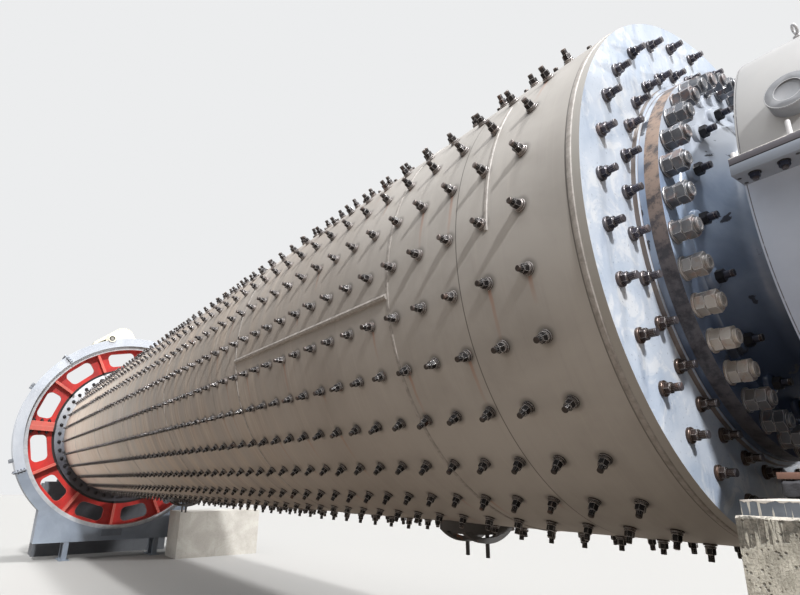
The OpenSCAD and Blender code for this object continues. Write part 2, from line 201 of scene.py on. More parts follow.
def turned(rings, sides, turn=0.0):
    # Extrudes a disc through rings of (radius, height)
    radius, height = rings[0]
    deselect()
    bpy.ops.mesh.primitive_circle_add(vertices=sides, radius=radius, fill_type="NGON",
                                      location=(0, 0, height), rotation=(0, 0, math.radians(turn)))
    editAll()
    for nextRadius, nextHeight in rings[1:]:
        step = (0, 0, nextHeight - height)
        bpy.ops.mesh.extrude_region_move(TRANSFORM_OT_translate={"value": step})
        grow = nextRadius / radius
        bpy.ops.transform.resize(value=(grow, grow, 1), center_override=(0, 0, nextHeight))
        radius, height = nextRadius, nextHeight
    bpy.ops.mesh.select_all(action="SELECT")
    bpy.ops.mesh.normals_make_consistent(inside=False)
    return settle(bpy.context.object, "turned")


def block(low, high, bevel=0.0, segments=2):
    deselect()
    middle = [(a + b) / 2 for a, b in zip(low, high)]
    bpy.ops.mesh.primitive_cube_add(size=1, location=middle)
    bpy.ops.transform.resize(value=[b - a for a, b in zip(low, high)])
    piece = settle(bpy.context.object, "block")
    if bevel:
        editAll()
        bpy.ops.mesh.bevel(offset=bevel, segments=segments, affect="EDGES")
        bpy.ops.object.mode_set(mode="OBJECT")
    return piece


def hexNut(radius, low, high, turn=0.0, bothEnds=False):
    # A hexagonal nut with its corners turned off by a cone
    drop, narrow, wide = [radius * share for share in (0.139, 0.86, 1.1)]
    foot = [(narrow, low), (wide, low + drop)] if bothEnds else [(wide, low)]
    cone = turned(foot + [(wide, high - drop), (narrow, high)], 24)
    nut = turned([(radius, low - 0.001), (radius, high + 0.001)], 6, turn)
    modified(nut, "BOOLEAN", operation="INTERSECT", solver="EXACT", object=cone)
    discard(cone)
    return nut


def weldRing(x, radius, halfWidth, height):
    deselect()
    bpy.ops.mesh.primitive_torus_add(major_segments=180, minor_segments=8, major_radius=radius,
                                     minor_radius=height, location=(x, mill["axisY"], mill["axisZ"]),
                                     rotation=(0, math.pi / 2, 0))
    bpy.context.object.scale = (1, 1, halfWidth / height)
    return settle(bpy.context.object, "bead")


def weldRun(x, fromAngle, toAngle, radius, halfWidth, height):
    # A bead round part of the shell, spun about the mill's axis
    deselect()
    bpy.ops.mesh.primitive_circle_add(vertices=8, radius=height, fill_type="NGON",
                                      location=aroundMill(x, fromAngle, radius),
                                      rotation=(math.radians(-fromAngle), 0, 0))
    bpy.context.object.scale = (halfWidth / height, 1, 1)
    bpy.ops.object.transform_apply(location=True, rotation=True, scale=True)
    editAll()
    bpy.ops.mesh.spin(steps=max(6, int(abs(toAngle - fromAngle) / 2)),
                      angle=math.radians(toAngle - fromAngle),
                      center=(x, mill["axisY"], mill["axisZ"]), axis=(1, 0, 0))
    bpy.ops.mesh.select_all(action="SELECT")
    bpy.ops.mesh.normals_make_consistent(inside=False)
    return settle(bpy.context.object, "bead")


def weldLine(fromX, toX, angle, radius, halfWidth, height):
    deselect()
    bpy.ops.mesh.primitive_cylinder_add(vertices=8, radius=height, depth=abs(toX - fromX),
                                        location=aroundMill((fromX + toX) / 2, angle, radius),
                                        rotation=(0, math.pi / 2, 0))
    bpy.ops.transform.resize(value=(1, halfWidth / height, halfWidth / height))
    return settle(bpy.context.object, "bead")


def cadCopy(nodeName, name):
    # A copy of a CAD node that will stand for it, welded and left in edit mode
    source = nodes[nodeName]
    piece = bpy.data.objects.new(name, source.data.copy())
    bpy.context.scene.collection.objects.link(piece)
    piece.matrix_world = source.matrix_world
    settle(piece, name)
    editAll()
    bpy.ops.mesh.customdata_custom_splitnormals_clear()
    bpy.ops.mesh.remove_doubles(threshold=0.00005)
    return piece


def softened(nodeName, body, width):
    # The node with its edges rounded
    look = {"flat": 0.6, "sharp": 30.0, "segments": 2, "smooth": 35}
    piece = cadCopy(nodeName, nodeName + "_softened")
    bpy.ops.mesh.dissolve_limited(angle_limit=math.radians(look["flat"]))
    bpy.ops.object.mode_set(mode="OBJECT")
    modified(piece, "BEVEL", width=width, segments=look["segments"], limit_method="ANGLE",
             angle_limit=math.radians(look["sharp"]))
    smooth(piece, look["smooth"])
    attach(piece, body)
    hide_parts(nodeName)


# Shader building


class Wire:
    # A socket of a shader tree: sums, products and comparisons of wires become Math nodes
    def __init__(self, tree, socket):
        self.tree = tree
        self.socket = socket

    def __add__(self, other):
        return calc("ADD", self, other)

    def __radd__(self, other):
        return calc("ADD", other, self)

    def __sub__(self, other):
        return calc("SUBTRACT", self, other)

    def __rsub__(self, other):
        return calc("SUBTRACT", other, self)

    def __mul__(self, other):
        return calc("MULTIPLY", self, other)

    def __rmul__(self, other):
        return calc("MULTIPLY", other, self)

    def __truediv__(self, other):
        return calc("DIVIDE", self, other)

    def __gt__(self, other):
        return calc("GREATER_THAN", self, other)

    def __lt__(self, other):
        return calc("LESS_THAN", self, other)

    def __abs__(self):
        return calc("ABSOLUTE", self)


def plug(tree, target, value):
    if isinstance(value, Wire):
        tree.links.new(value.socket, target)
    else:
        target.default_value = value


def addNode(tree, kind, inputs, output=0, **settings):
    # Makes a node, fills its inputs and gives the wire from one of its outputs
    made = setAll(tree.nodes.new(kind), settings)
    for key, value in inputs.items():
        plug(tree, made.inputs[key], value)
    return Wire(tree, made.outputs[output])


def treeOf(*values):
    return next(value.tree for value in values if isinstance(value, Wire))


def calc(operation, first, second=0.0):
    return addNode(treeOf(first, second), "ShaderNodeMath", {0: first, 1: second}, operation=operation)


def clamped(wire):
    wire.socket.node.use_clamp = True
    return wire


def remap(value, fromLow, fromHigh, toLow=0.0, toHigh=1.0):
    return addNode(value.tree, "ShaderNodeMapRange",
                   {"Value": value, "From Min": fromLow, "From Max": fromHigh,
                    "To Min": toLow, "To Max": toHigh}, interpolation_type="SMOOTHSTEP")


def noiseOf(vector, scale, detail=4.0, roughness=0.55, distortion=0.0):
    return addNode(vector.tree, "ShaderNodeTexNoise",
                   {"Vector": vector, "Scale": scale, "Detail": detail, "Roughness": roughness,
                    "Distortion": distortion}, "Fac")


def mixed(factor, first, second):
    return addNode(factor.tree, "ShaderNodeMix", {0: factor, 6: first, 7: second}, 2, data_type="RGBA")


def stretched(vector, scale):
    return addNode(vector.tree, "ShaderNodeMapping", {"Vector": vector, "Scale": scale})


def vectorOf(x, y):
    return addNode(x.tree, "ShaderNodeCombineXYZ", {0: x, 1: y})


def heightOf(vector):
    return addNode(vector.tree, "ShaderNodeSeparateXYZ", {0: vector}, "Z")


def cellsOf(vector, scale):
    return addNode(vector.tree, "ShaderNodeTexVoronoi", {"Vector": vector, "Scale": scale}, "Distance")


def flatNormal(tree):
    return addNode(tree, "ShaderNodeNewGeometry", {}, "Normal")


def edgeOf(tree, radius):
    # 1 along the edges of a shape, and 0 on its faces
    rounded = addNode(tree, "ShaderNodeBevel", {"Radius": radius}, samples=4)
    alike = addNode(tree, "ShaderNodeVectorMath", {0: rounded, 1: flatNormal(tree)}, "Value",
                    operation="DOT_PRODUCT")
    return remap(alike, 0.99, 0.86)


def past(value, start, soft):
    # 0 up to a value, and 1 soon after it
    return remap(value, start, start + soft)


def band(value, middle, halfWidth, soft):
    # 1 within half a width of a value, and 0 past it
    return remap(abs(value - middle), halfWidth, halfWidth + soft, 1.0, 0.0)


def shade(red, green, blue):
    # A colour written as it looks on screen, from 0 to 255
    def linear(value):
        value /= 255
        return value / 12.92 if value <= 0.04045 else ((value + 0.055) / 1.055) ** 2.4
    return (linear(red), linear(green), linear(blue), 1.0)


def newGroup(name, inputs, outputs):
    group = bpy.data.node_groups.new(name, "ShaderNodeTree")
    kinds = {"vector": "NodeSocketVector", "value": "NodeSocketFloat", "color": "NodeSocketColor"}
    for label, kind in inputs + outputs:
        way = "INPUT" if (label, kind) in inputs else "OUTPUT"
        group.interface.new_socket(label, in_out=way, socket_type=kinds[kind])
    given = {socket.name: Wire(group, socket) for socket in group.nodes.new("NodeGroupInput").outputs}
    return group, given, group.nodes.new("NodeGroupOutput").inputs


def placed(name, **inputs):
    tree = treeOf(*inputs.values())
    made = tree.nodes.new("ShaderNodeGroup")
    made.node_tree = groups[name]
    for key, value in inputs.items():
        plug(tree, made.inputs[key], value)
    return {socket.name: Wire(tree, socket) for socket in made.outputs}


def makeDrumPlace():
    # Turns a point into its place along the mill, its angle in turns and its radius
    group, given, wanted = newGroup("drumPlace", [("Vector", "vector")],
                                    [("Along", "value"), ("Turn", "value"), ("Radius", "value")])
    centred = addNode(group, "ShaderNodeVectorMath",
                      {0: given["Vector"], 1: (0, mill["axisY"], mill["axisZ"])}, operation="SUBTRACT")
    along, y, z = [addNode(group, "ShaderNodeSeparateXYZ", {0: centred}, key) for key in "XYZ"]
    side = y * -1.0
    plug(group, wanted["Along"], along)
    plug(group, wanted["Turn"], calc("ARCTAN2", z, side) / (2 * math.pi))
    plug(group, wanted["Radius"], calc("SQRT", side * side + z * z))
    return group


def makeRunMarks():
    # Thin marks that run round the shell: dust and water that ran down its sides
    group, given, wanted = newGroup("runMarks", [("Along", "value"), ("Turn", "value")],
                                    [("Fine", "value"), ("Broad", "value")])
    fineAt = vectorOf(given["Along"] * 26.0, given["Turn"] * 9.0)
    broadAt = vectorOf(given["Along"] * 5.0, given["Turn"] * 6.0)
    plug(group, wanted["Fine"], noiseOf(fineAt, 1.0, 5, 0.65))
    plug(group, wanted["Broad"], noiseOf(broadAt, 1.0, 3, 0.5))
    return group


def makeBoltMarks():
    # A rust run below some liner bolts, and a darker ring close round each one, partly grime and partly
    # painted shade
    group, given, wanted = newGroup("boltMarks", [("Along", "value"), ("Turn", "value")],
                                    [("Rust", "value"), ("GrimeAndShade", "value")])
    firstX = mill["headX"] - mill["firstBolt"]
    column = (firstX - given["Along"]) / mill["boltPitch"]
    nearestColumn = calc("ROUND", column)
    onShell = nearestColumn > -0.5
    across = (column - nearestColumn) * mill["boltPitch"]
    row = (given["Turn"] - mill["firstRow"] / 360) * mill["boltRows"]
    rowBelow = calc("FLOOR", row)
    part = row - rowBelow
    facing = calc("COSINE", given["Turn"] * (2 * math.pi))
    cameraSide = facing > 0.0
    down = abs(part - cameraSide)
    boltRow = rowBelow + cameraSide
    lot = addNode(group, "ShaderNodeTexWhiteNoise", {"Vector": vectorOf(nearestColumn, boltRow)}, "Value",
                  noise_dimensions="2D")
    reach = remap(lot, 0.72, 1.0, 0.0, 1.1)
    wobble = (noiseOf(vectorOf(given["Along"] * 9.0, given["Turn"] * 60.0), 1.0, 2) - 0.5) * 0.02
    sideways = abs(across + wobble)
    narrow = remap(sideways, 0.004, 0.016, 1.0, 0.0)
    fade = clamped(1.0 - down / (reach + 0.001))
    run = clamped(narrow * fade)
    plug(group, wanted["Rust"], run * onShell)
    arc = 2 * math.pi * mill["shellR"] / mill["boltRows"]
    upDown = (row - calc("ROUND", row)) * arc
    distance = calc("SQRT", across * across + upDown * upDown)
    grimeAndShade = remap(distance, 0.034, 0.062, 1.0, 0.0)
    plug(group, wanted["GrimeAndShade"], grimeAndShade * onShell)
    return group


def makePaintSkin():
    # Slow and fast changes in a coat of paint, and its orange peel
    group, given, wanted = newGroup("paintSkin", [("Vector", "vector"), ("Patch", "value")],
                                    [("Slow", "value"), ("Fast", "value"), ("Height", "value")])
    slow = noiseOf(given["Vector"], given["Patch"], 5, 0.6, 0.4)
    fast = noiseOf(given["Vector"], 46.0, 4, 0.6)
    peel = noiseOf(given["Vector"], 190.0, 2, 0.5)
    plug(group, wanted["Slow"], slow)
    plug(group, wanted["Fast"], fast)
    plug(group, wanted["Height"], slow * 0.5 + peel * 0.12)
    return group


def makeRustSpread():
    # Patches and specks of rust that an amount from 0 to 1 lets through
    group, given, wanted = newGroup("rustSpread",
                                    [("Vector", "vector"), ("Amount", "value"), ("Size", "value")],
                                    [("Mask", "value"), ("Color", "color")])
    patch = noiseOf(given["Vector"], given["Size"], 8, 0.68, 0.6)
    edge = 1.0 - given["Amount"]
    mask = remap(patch, edge * 0.42 + 0.24, edge * 0.42 + 0.36)
    tone = noiseOf(given["Vector"], 34.0, 6, 0.7)
    color = mixed(tone, shade(84, 48, 32), shade(158, 104, 72))
    plug(group, wanted["Mask"], mask)
    plug(group, wanted["Color"], color)
    return group


groups = {
    "place": makeDrumPlace(),
    "runs": makeRunMarks(),
    "bolts": makeBoltMarks(),
    "skin": makePaintSkin(),
    "rust": makeRustSpread(),
}


def newMaterial(name):
    material = bpy.data.materials.new(name)
    material.use_nodes = True
    material.node_tree.nodes.clear()
    return material, addNode(material.node_tree, "ShaderNodeTexCoord", {}, "Object")


def newPaint(name, patch):
    material, coords = newMaterial(name)
    place = placed("place", Vector=coords)
    return material, coords, place, placed("skin", Vector=coords, Patch=patch)


def surfaced(material, inputs):
    tree = material.node_tree
    surface = addNode(tree, "ShaderNodeBsdfPrincipled", inputs)
    plug(tree, tree.nodes.new("ShaderNodeOutputMaterial").inputs[0], surface)
    return material


def finished(material, color, rough, height, metallic=0.0, strength=0.4, distance=0.002):
    bump = addNode(color.tree, "ShaderNodeBump",
                   {"Strength": strength, "Distance": distance, "Height": height})
    return surfaced(material, {"Base Color": color, "Roughness": rough, "Metallic": metallic,
                               "Normal": bump})


def paintMaterial(name, main, second, dust, rough=0.45, patch=1.6, dustAmount=0.35, rustAmount=0.0,
                  bump=0.35):
    # Plain brushed or sprayed paint with dust on what faces up
    material, coords = newMaterial(name)
    skin = placed("skin", Vector=coords, Patch=patch)
    color = mixed(remap(skin["Slow"], 0.35, 0.68), main, second)
    dusty = remap(heightOf(flatNormal(coords.tree)), -0.1, 0.9) * remap(skin["Fast"], 0.3, 0.75)
    color = mixed(dusty * dustAmount, color, dust)
    grain = (skin["Fast"] - 0.5) * 0.22
    color = mixed(clamped(grain + 0.03), color, shade(60, 58, 56))
    roughness = rough + skin["Slow"] * 0.16
    roughness = clamped(roughness + dusty * 0.15)
    if rustAmount:
        rust = placed("rust", Vector=coords, Amount=rustAmount, Size=5.0)
        color = mixed(rust["Mask"], color, rust["Color"])
        roughness = clamped(roughness + rust["Mask"] * 0.3)
    return finished(material, color, roughness, skin["Height"], strength=bump)


def shellMaterial():
    look = {
        "main": shade(160, 156, 151), "second": shade(145, 141, 136), "dust": shade(208, 199, 188),
        "tan": shade(170, 150, 130), "rust": shade(150, 92, 58), "grimeAndShade": shade(62, 58, 55),
        "middle": shade(124, 113, 103), "farDustAndLight": shade(194, 181, 167), "rim": shade(92, 90, 88),
        "rimStart": mill["headX"] - 0.036, "headWeld": mill["headX"] - 0.055,
        "joint": mill["headX"] - 0.775, "farStart": 6.4, "farEnd": 1.5,
    }
    material, _, place, skin = newPaint("shellPaint", 1.1)
    runs = placed("runs", Along=place["Along"], Turn=place["Turn"])
    marks = placed("bolts", Along=place["Along"], Turn=place["Turn"])
    color = mixed(remap(skin["Slow"], 0.36, 0.66), look["main"], look["second"])
    # The middle of the shell is painted browner and darker as painted shade, and its far end paler, partly
    # pale dust and partly painted light
    middleShade = band(place["Along"], 3.2, 2.0, 2.2)
    color = mixed(middleShade * 0.5, color, look["middle"])
    pale = remap(place["Along"], 0.8, -4.5, 0.0, 0.65)
    color = mixed(pale, color, look["farDustAndLight"])
    # The far two thirds of the shell carry more dust, in marks that ran down
    farther = remap(place["Along"], look["farStart"], look["farEnd"])
    streak = remap(runs["Fine"], 0.5, 0.72) * remap(runs["Broad"], 0.36, 0.62)
    streak = streak * (farther * 0.65 + 0.1)
    color = mixed(streak, color, look["dust"])
    warm = remap(runs["Broad"], 0.38, 0.7) * (farther * 0.5)
    color = mixed(warm, color, look["tan"])
    dark = remap(runs["Fine"], 0.46, 0.3) * (farther * 0.42 + 0.05)
    color = mixed(dark, color, look["grimeAndShade"])
    # A fine open joint rings each short course, and welds have dark edges
    across = abs(abs(place["Along"]) - look["joint"])
    color = mixed(remap(across, 0.0022, 0.0042, 0.8, 0.0), color, look["grimeAndShade"])
    # The shell's two end rings are bare grey beside the head weld
    rim = past(abs(place["Along"]), look["rimStart"], 0.003)
    color = mixed(rim * 0.75, color, look["rim"])
    beside = abs(abs(place["Along"]) - look["headWeld"])
    color = mixed(band(beside, 0.018, 0.002, 0.002) * 0.7, color, look["grimeAndShade"])
    # The darker ring round each liner bolt is partly grime and partly painted shade
    color = mixed(marks["GrimeAndShade"] * 0.45, color, look["grimeAndShade"])
    color = mixed(marks["Rust"] * 0.5, color, look["rust"])
    roughness = 0.44 + skin["Slow"] * 0.14
    roughness = clamped(roughness + streak * 0.3)
    return finished(material, color, roughness, skin["Height"], strength=0.3)


def headMaterial():
    look = {
        "paint": shade(173, 180, 190), "second": shade(152, 163, 178), "dust": shade(197, 198, 199),
        "smear": shade(130, 141, 160), "speck": shade(96, 104, 120), "line": shade(104, 88, 74),
        "rim": shade(150, 147, 142), "rimRadius": mill["shellR"] - 0.0012, "hubRadius": 1.0895,
        "flangeRadius": 1.0685,
    }
    material, coords, place, skin = newPaint("headPaint", 2.4)
    color = mixed(remap(skin["Slow"], 0.35, 0.68), look["paint"], look["second"])
    wiped = remap(noiseOf(coords, 5.5, 6, 0.66, 1.2), 0.5, 0.62)
    color = mixed(wiped * 0.6, color, look["dust"])
    smear = remap(noiseOf(stretched(coords, (1, 11, 3)), 1.0, 6, 0.66), 0.54, 0.66)
    color = mixed(smear * 0.5, color, look["smear"])
    speck = remap(noiseOf(coords, 60.0, 2, 0.5), 0.66, 0.7)
    color = mixed(speck * 0.5, color, look["speck"])
    # Bare brown lines where the paint stops short of the hub and of the flange
    line = calc("MAXIMUM", band(place["Radius"], look["hubRadius"], 0.001, 0.001),
                band(place["Radius"], look["flangeRadius"], 0.0025, 0.001))
    color = mixed(line * 0.85, color, look["line"])
    rim = past(place["Radius"], look["rimRadius"], 0.0005)
    color = mixed(rim, color, look["rim"])
    roughness = 0.24 + skin["Slow"] * 0.14
    roughness = clamped(roughness + rim * 0.2)
    return finished(material, color, roughness, skin["Height"], strength=0.3)


def trunnionMaterial():
    look = {
        "paint": shade(148, 162, 182), "second": shade(122, 137, 160), "peeled": shade(58, 62, 72),
        "high": shade(170, 176, 186), "low": shade(74, 86, 108), "paintedTo": mill["headX"] + 0.050,
        "rim": shade(146, 126, 112), "rimDark": shade(76, 71, 72), "rimShaded": shade(48, 47, 54),
        "rimShadedPale": shade(82, 80, 85), "edgeRadius": 1.0665,
    }
    material, coords, place, skin = newPaint("trunnionPaint", 2.2)
    color = mixed(remap(skin["Slow"], 0.35, 0.65), look["paint"], look["second"])
    # Painted light on the upper part, and painted shade on the lower part
    color = mixed(remap(heightOf(coords), 3.1, 3.5), color, look["high"])
    color = mixed(remap(heightOf(coords), 2.9, 2.3), color, look["low"])
    chips = remap(noiseOf(coords, 4.2, 7, 0.62, 0.9), 0.605, 0.62)
    color = mixed(chips, color, look["peeled"])
    # The flange's bare machined edge, rusty brown, and darker on its underside, which is painted shade
    edge = past(place["Radius"], look["edgeRadius"], 0.0007)
    edge = edge * past(abs(place["Along"]), look["paintedTo"], 0.002)
    mottle = remap(noiseOf(coords, 15.0, 8, 0.75, 0.15), 0.42, 0.62)
    lower = mixed(mottle, look["rimShadedPale"], look["rimShaded"])
    worn = mixed(mottle, look["rim"], look["rimDark"])
    worn = mixed(remap(heightOf(coords), 3.3, 2.6), worn, lower)
    color = mixed(edge, color, worn)
    roughness = 0.2 + edge * 0.34
    roughness = clamped(roughness + chips * 0.2)
    height = skin["Height"] - chips * 0.25
    return finished(material, color, roughness, height, strength=0.4)


def gearMaterial():
    # Red web and spokes, with the machined rim left bare
    look = {
        "red": shade(172, 36, 31), "deep": shade(142, 30, 27), "dust": shade(206, 140, 124),
        "bare": shade(168, 170, 173), "worn": shade(146, 148, 153), "rimRadius": 2.2462,
        "gap": shade(26, 20, 22), "shadowGapRadius": 1.745, "spokeFace": mill["gearX"] + 0.175,
    }
    material, coords, place, skin = newPaint("gearPaint", 2.6)
    color = mixed(remap(skin["Slow"], 0.38, 0.64), look["red"], look["deep"])
    dusty = remap(heightOf(flatNormal(coords.tree)), 0.1, 0.9) * remap(skin["Fast"], 0.3, 0.7)
    # The spokes' front faces are tinted pale pink, partly dust and partly painted highlight
    spokeFace = band(place["Along"], look["spokeFace"], 0.001, 0.001)
    dusty = calc("MAXIMUM", dusty * 0.5, spokeFace * 0.28)
    color = mixed(dusty, color, look["dust"])
    # Paint is rubbed thin along the edges, and their pale tint is partly painted highlight
    color = mixed(edgeOf(coords.tree, 0.014) * 0.55, color, look["dust"])
    # A dark ring on the web beside the shell flange: painted shadow of the gap between them
    gap = past(place["Radius"], look["shadowGapRadius"], -0.006)
    color = mixed(gap, color, look["gap"])
    rim = past(place["Radius"], look["rimRadius"], 0.0008)
    metal = mixed(remap(noiseOf(coords, 9.0, 5, 0.6), 0.35, 0.7), look["bare"], look["worn"])
    color = mixed(rim, color, metal)
    roughness = 0.36 + skin["Slow"] * 0.16
    return finished(material, color, roughness, skin["Height"], rim * 0.25, strength=0.3)


def bearingMaterial():
    # The lower housing is painted lighter and bluer than the cap, as painted light from the side, and its
    # foot plate is in brown primer
    look = {
        "cap": shade(156, 155, 154), "base": shade(176, 186, 202), "capSecond": shade(146, 146, 146),
        "baseSecond": shade(164, 174, 191), "flangeLow": shade(126, 133, 144),
        "foot": shade(128, 98, 86), "line": shade(76, 74, 80), "flange": shade(100, 98, 105),
        "seam": shade(22, 22, 30), "edge": shade(204, 200, 196), "flangeR": 1.0305,
        "flangeTop": mill["axisZ"] + 0.032, "footTop": 1.8605, "weldPlace": bearingBox[0].x + 0.009,
        "skinRadius": 1.034,
    }
    material, coords, place, skin = newPaint("bearingPaint", 1.6)
    height = heightOf(coords)
    slow = remap(skin["Slow"], 0.34, 0.68)
    cap = mixed(slow, look["cap"], look["capSecond"])
    base = mixed(slow, look["base"], look["baseSecond"])
    color = mixed(height > mill["axisZ"], base, cap)
    # The split flange is greyer, with a pale ragged top edge and a dark line where the halves meet
    onFlange = (place["Radius"] > look["flangeR"]) * band(height, mill["axisZ"], 0.0455, 0.0005)
    above = onFlange * (height > mill["axisZ"])
    color = mixed(onFlange, color, look["flangeLow"])
    color = mixed(above, color, look["flange"])
    paleTopEdge = height + (skin["Fast"] - 0.5) * 0.012
    paleTopEdge = above * past(paleTopEdge, look["flangeTop"] - 0.005, 0.003)
    color = mixed(paleTopEdge, color, look["edge"])
    seam = band(height, mill["axisZ"], 0.002, 0.0008)
    color = mixed(seam, color, look["seam"])
    # Weld lines where the round skin meets the housing's ends
    line = band(abs(place["Along"]), look["weldPlace"], 0.0012, 0.0014)
    line = line * remap(place["Radius"], look["skinRadius"], look["skinRadius"] + 0.001, 1.0, 0.0)
    wavy = remap(skin["Fast"], 0.3, 0.5)
    line = line * (wavy * 0.5 + 0.4)
    color = mixed(line, color, look["line"])
    color = mixed(height < look["footTop"], color, look["foot"])
    roughness = 0.34 + skin["Slow"] * 0.16
    bump = skin["Height"] - line * 0.8
    return finished(material, color, roughness, bump, strength=0.3)


# Heights between which a second colour takes over lower down, painted shade on most bolts and painted light
# on the big nuts, and the painted highlight along corners
shadingHeights = {"under": (3.0, 2.3), "lowest": (2.35, 2.1)}
edgeHighlight = shade(216, 212, 210)


def steelMaterial(name, main, dark, rust, rustAmount, metallic=0.7, rough=0.42, thread=None, low=None,
                  edge=0.0, lowest=None):
    material, coords = newMaterial(name)
    tone = noiseOf(coords, 13.0, 5, 0.6)
    color = mixed(remap(tone, 0.34, 0.66), main, dark)
    if low:
        # What lies under the mill gets a second colour: painted shade on most bolts, painted light on the
        # big nuts
        color = mixed(remap(heightOf(coords), *shadingHeights["under"]), color, low)
    if lowest:
        # Painted shade lowest down
        color = mixed(remap(heightOf(coords), *shadingHeights["lowest"]), color, lowest)
    if edge:
        # Painted highlight along the corners
        color = mixed(edgeOf(coords.tree, edge) * 0.9, color, edgeHighlight)
    rusty = placed("rust", Vector=coords, Amount=rustAmount, Size=14.0)
    color = mixed(rusty["Mask"] * rust, color, rusty["Color"])
    roughness = clamped(rough + rusty["Mask"] * 0.28)
    bare = clamped(metallic - rusty["Mask"] * (metallic * 0.8))
    height = noiseOf(coords, 120.0, 3, 0.6)
    if thread:
        # Threads run round studs that stand along the mill or out from its axis
        place = placed("place", Vector=coords)
        run = place["Along"] if thread == "along" else place["Radius"]
        wave = calc("SINE", run * (2 * math.pi / 0.006))
        height = height * 0.3 + wave * 0.5
    return finished(material, color, roughness, height, bare, 0.5, 0.0015)


def concreteMaterial(name, main, second, stain):
    material, coords = newMaterial(name)
    broad = noiseOf(coords, 1.4, 6, 0.62, 0.3)
    grit = noiseOf(coords, 60.0, 5, 0.7)
    color = mixed(remap(broad, 0.34, 0.66), main, second)
    color = mixed(remap(grit, 0.5, 0.75) * 0.5, color, stain)
    pits = cellsOf(coords, 22.0)
    hollow = remap(pits, 0.05, 0.16, 1.0, 0.0)
    hollow = hollow * remap(noiseOf(coords, 3.0, 3), 0.52, 0.64)
    color = mixed(hollow * 0.7, color, stain)
    drips = noiseOf(stretched(coords, (9, 9, 0.7)), 1.0, 5, 0.6)
    color = mixed(remap(drips, 0.54, 0.8) * 0.35, color, stain)
    height = grit * 0.35 + broad * 0.5 - hollow * 0.6
    roughness = clamped(0.78 + grit * 0.15)
    return finished(material, color, roughness, height, strength=0.7, distance=0.012)


def castPierMaterial():
    # Cream concrete full of small pits, with a dark damp band under the top and pale drips over it
    look = {
        "cream": shade(198, 194, 181), "grey": shade(164, 160, 148), "damp": shade(88, 85, 78),
        "dampSecond": shade(124, 119, 109), "drip": shade(196, 192, 180), "pit": shade(70, 66, 60),
        "edge": shade(178, 172, 162), "top": pierBox[1].z, "bandHeight": 0.075,
    }
    material, coords = newMaterial("castPierConcrete")
    patches = noiseOf(coords, 20.0, 5, 0.6, 0.5)
    grit = noiseOf(coords, 150.0, 5, 0.75)
    drips = noiseOf(stretched(coords, (75, 75, 9)), 1.0, 5, 0.6)
    pits = cellsOf(coords, 75.0)
    lot = noiseOf(coords, 26.0, 3)
    pit = remap(pits, 0.16, 0.34, 1.0, 0.0) * remap(lot, 0.46, 0.54)
    color = mixed(remap(patches, 0.36, 0.66), look["cream"], look["grey"])
    color = mixed(remap(grit, 0.46, 0.66) * 0.55, color, look["damp"])
    below = look["top"] - heightOf(coords)
    uneven = (patches - 0.5) * 0.16
    damp = remap(below + uneven, look["bandHeight"], look["bandHeight"] * 0.8)
    damp = damp * remap(drips, 0.58, 0.52)
    wet = mixed(remap(noiseOf(coords, 60.0, 4, 0.65), 0.4, 0.65), look["damp"], look["dampSecond"])
    color = mixed(damp, color, wet)
    color = mixed(remap(drips, 0.6, 0.68) * 0.55, color, look["drip"])
    color = mixed(pit * 0.75, color, look["pit"])
    ragged = below + (patches - 0.5) * 0.03
    color = mixed(remap(ragged, 0.006, 0.003), color, look["edge"])
    height = grit * 0.3 + drips * 0.6 - pit * 0.7 - damp * 0.3
    return finished(material, color, 0.75 + grit * 0.2, height, strength=0.9, distance=0.01)


def soleMaterial():
    # Grey painted plate with mortar spilt over its top edge and down its sides
    look = {
        "paint": shade(104, 110, 118), "second": shade(88, 94, 102), "mortar": shade(190, 184, 176),
        "run": shade(178, 174, 166), "top": soleBox[1].z,
    }
    material, coords = newMaterial("solePlatePaint")
    skin = placed("skin", Vector=coords, Patch=12.0)
    color = mixed(remap(skin["Slow"], 0.35, 0.65), look["paint"], look["second"])
    runs = noiseOf(stretched(coords, (110, 110, 7)), 1.0, 3, 0.5)
    run = remap(runs, 0.6, 0.63)
    color = mixed(run, color, look["run"])
    below = look["top"] - heightOf(coords)
    ragged = below + (skin["Fast"] - 0.5) * 0.03
    spill = remap(ragged, 0.005, 0.003)
    color = mixed(spill, color, look["mortar"])
    height = skin["Height"] + calc("MAXIMUM", run, spill)
    return finished(material, color, 0.5 + run * 0.3, height, strength=0.7, distance=0.004)


def hoodMaterial():
    # Cream white, with a dark ring inside the boss as painted shade of its hole
    look = {"main": shade(192, 189, 175), "second": shade(182, 179, 166), "dark": shade(34, 33, 32),
            "bossY": mill["axisY"] - 0.795, "bossZ": mill["axisZ"] + 2.455, "holeShadeR": 0.066, "pinR": 0.043,
            "pin": shade(120, 118, 114)}
    material, coords = newMaterial("hoodPaint")
    skin = placed("skin", Vector=coords, Patch=1.4)
    color = mixed(remap(skin["Slow"], 0.35, 0.68), look["main"], look["second"])
    flat = addNode(coords.tree, "ShaderNodeVectorMath", {0: coords, 1: (0, 1, 1)}, operation="MULTIPLY")
    boss = (0, look["bossY"], look["bossZ"])
    away = addNode(coords.tree, "ShaderNodeVectorMath", {0: flat, 1: boss}, "Value", operation="DISTANCE")
    color = mixed(away < look["holeShadeR"], color, look["dark"])
    color = mixed(away < look["pinR"], color, look["pin"])
    return finished(material, color, 0.46 + skin["Slow"] * 0.14, skin["Height"], strength=0.25)


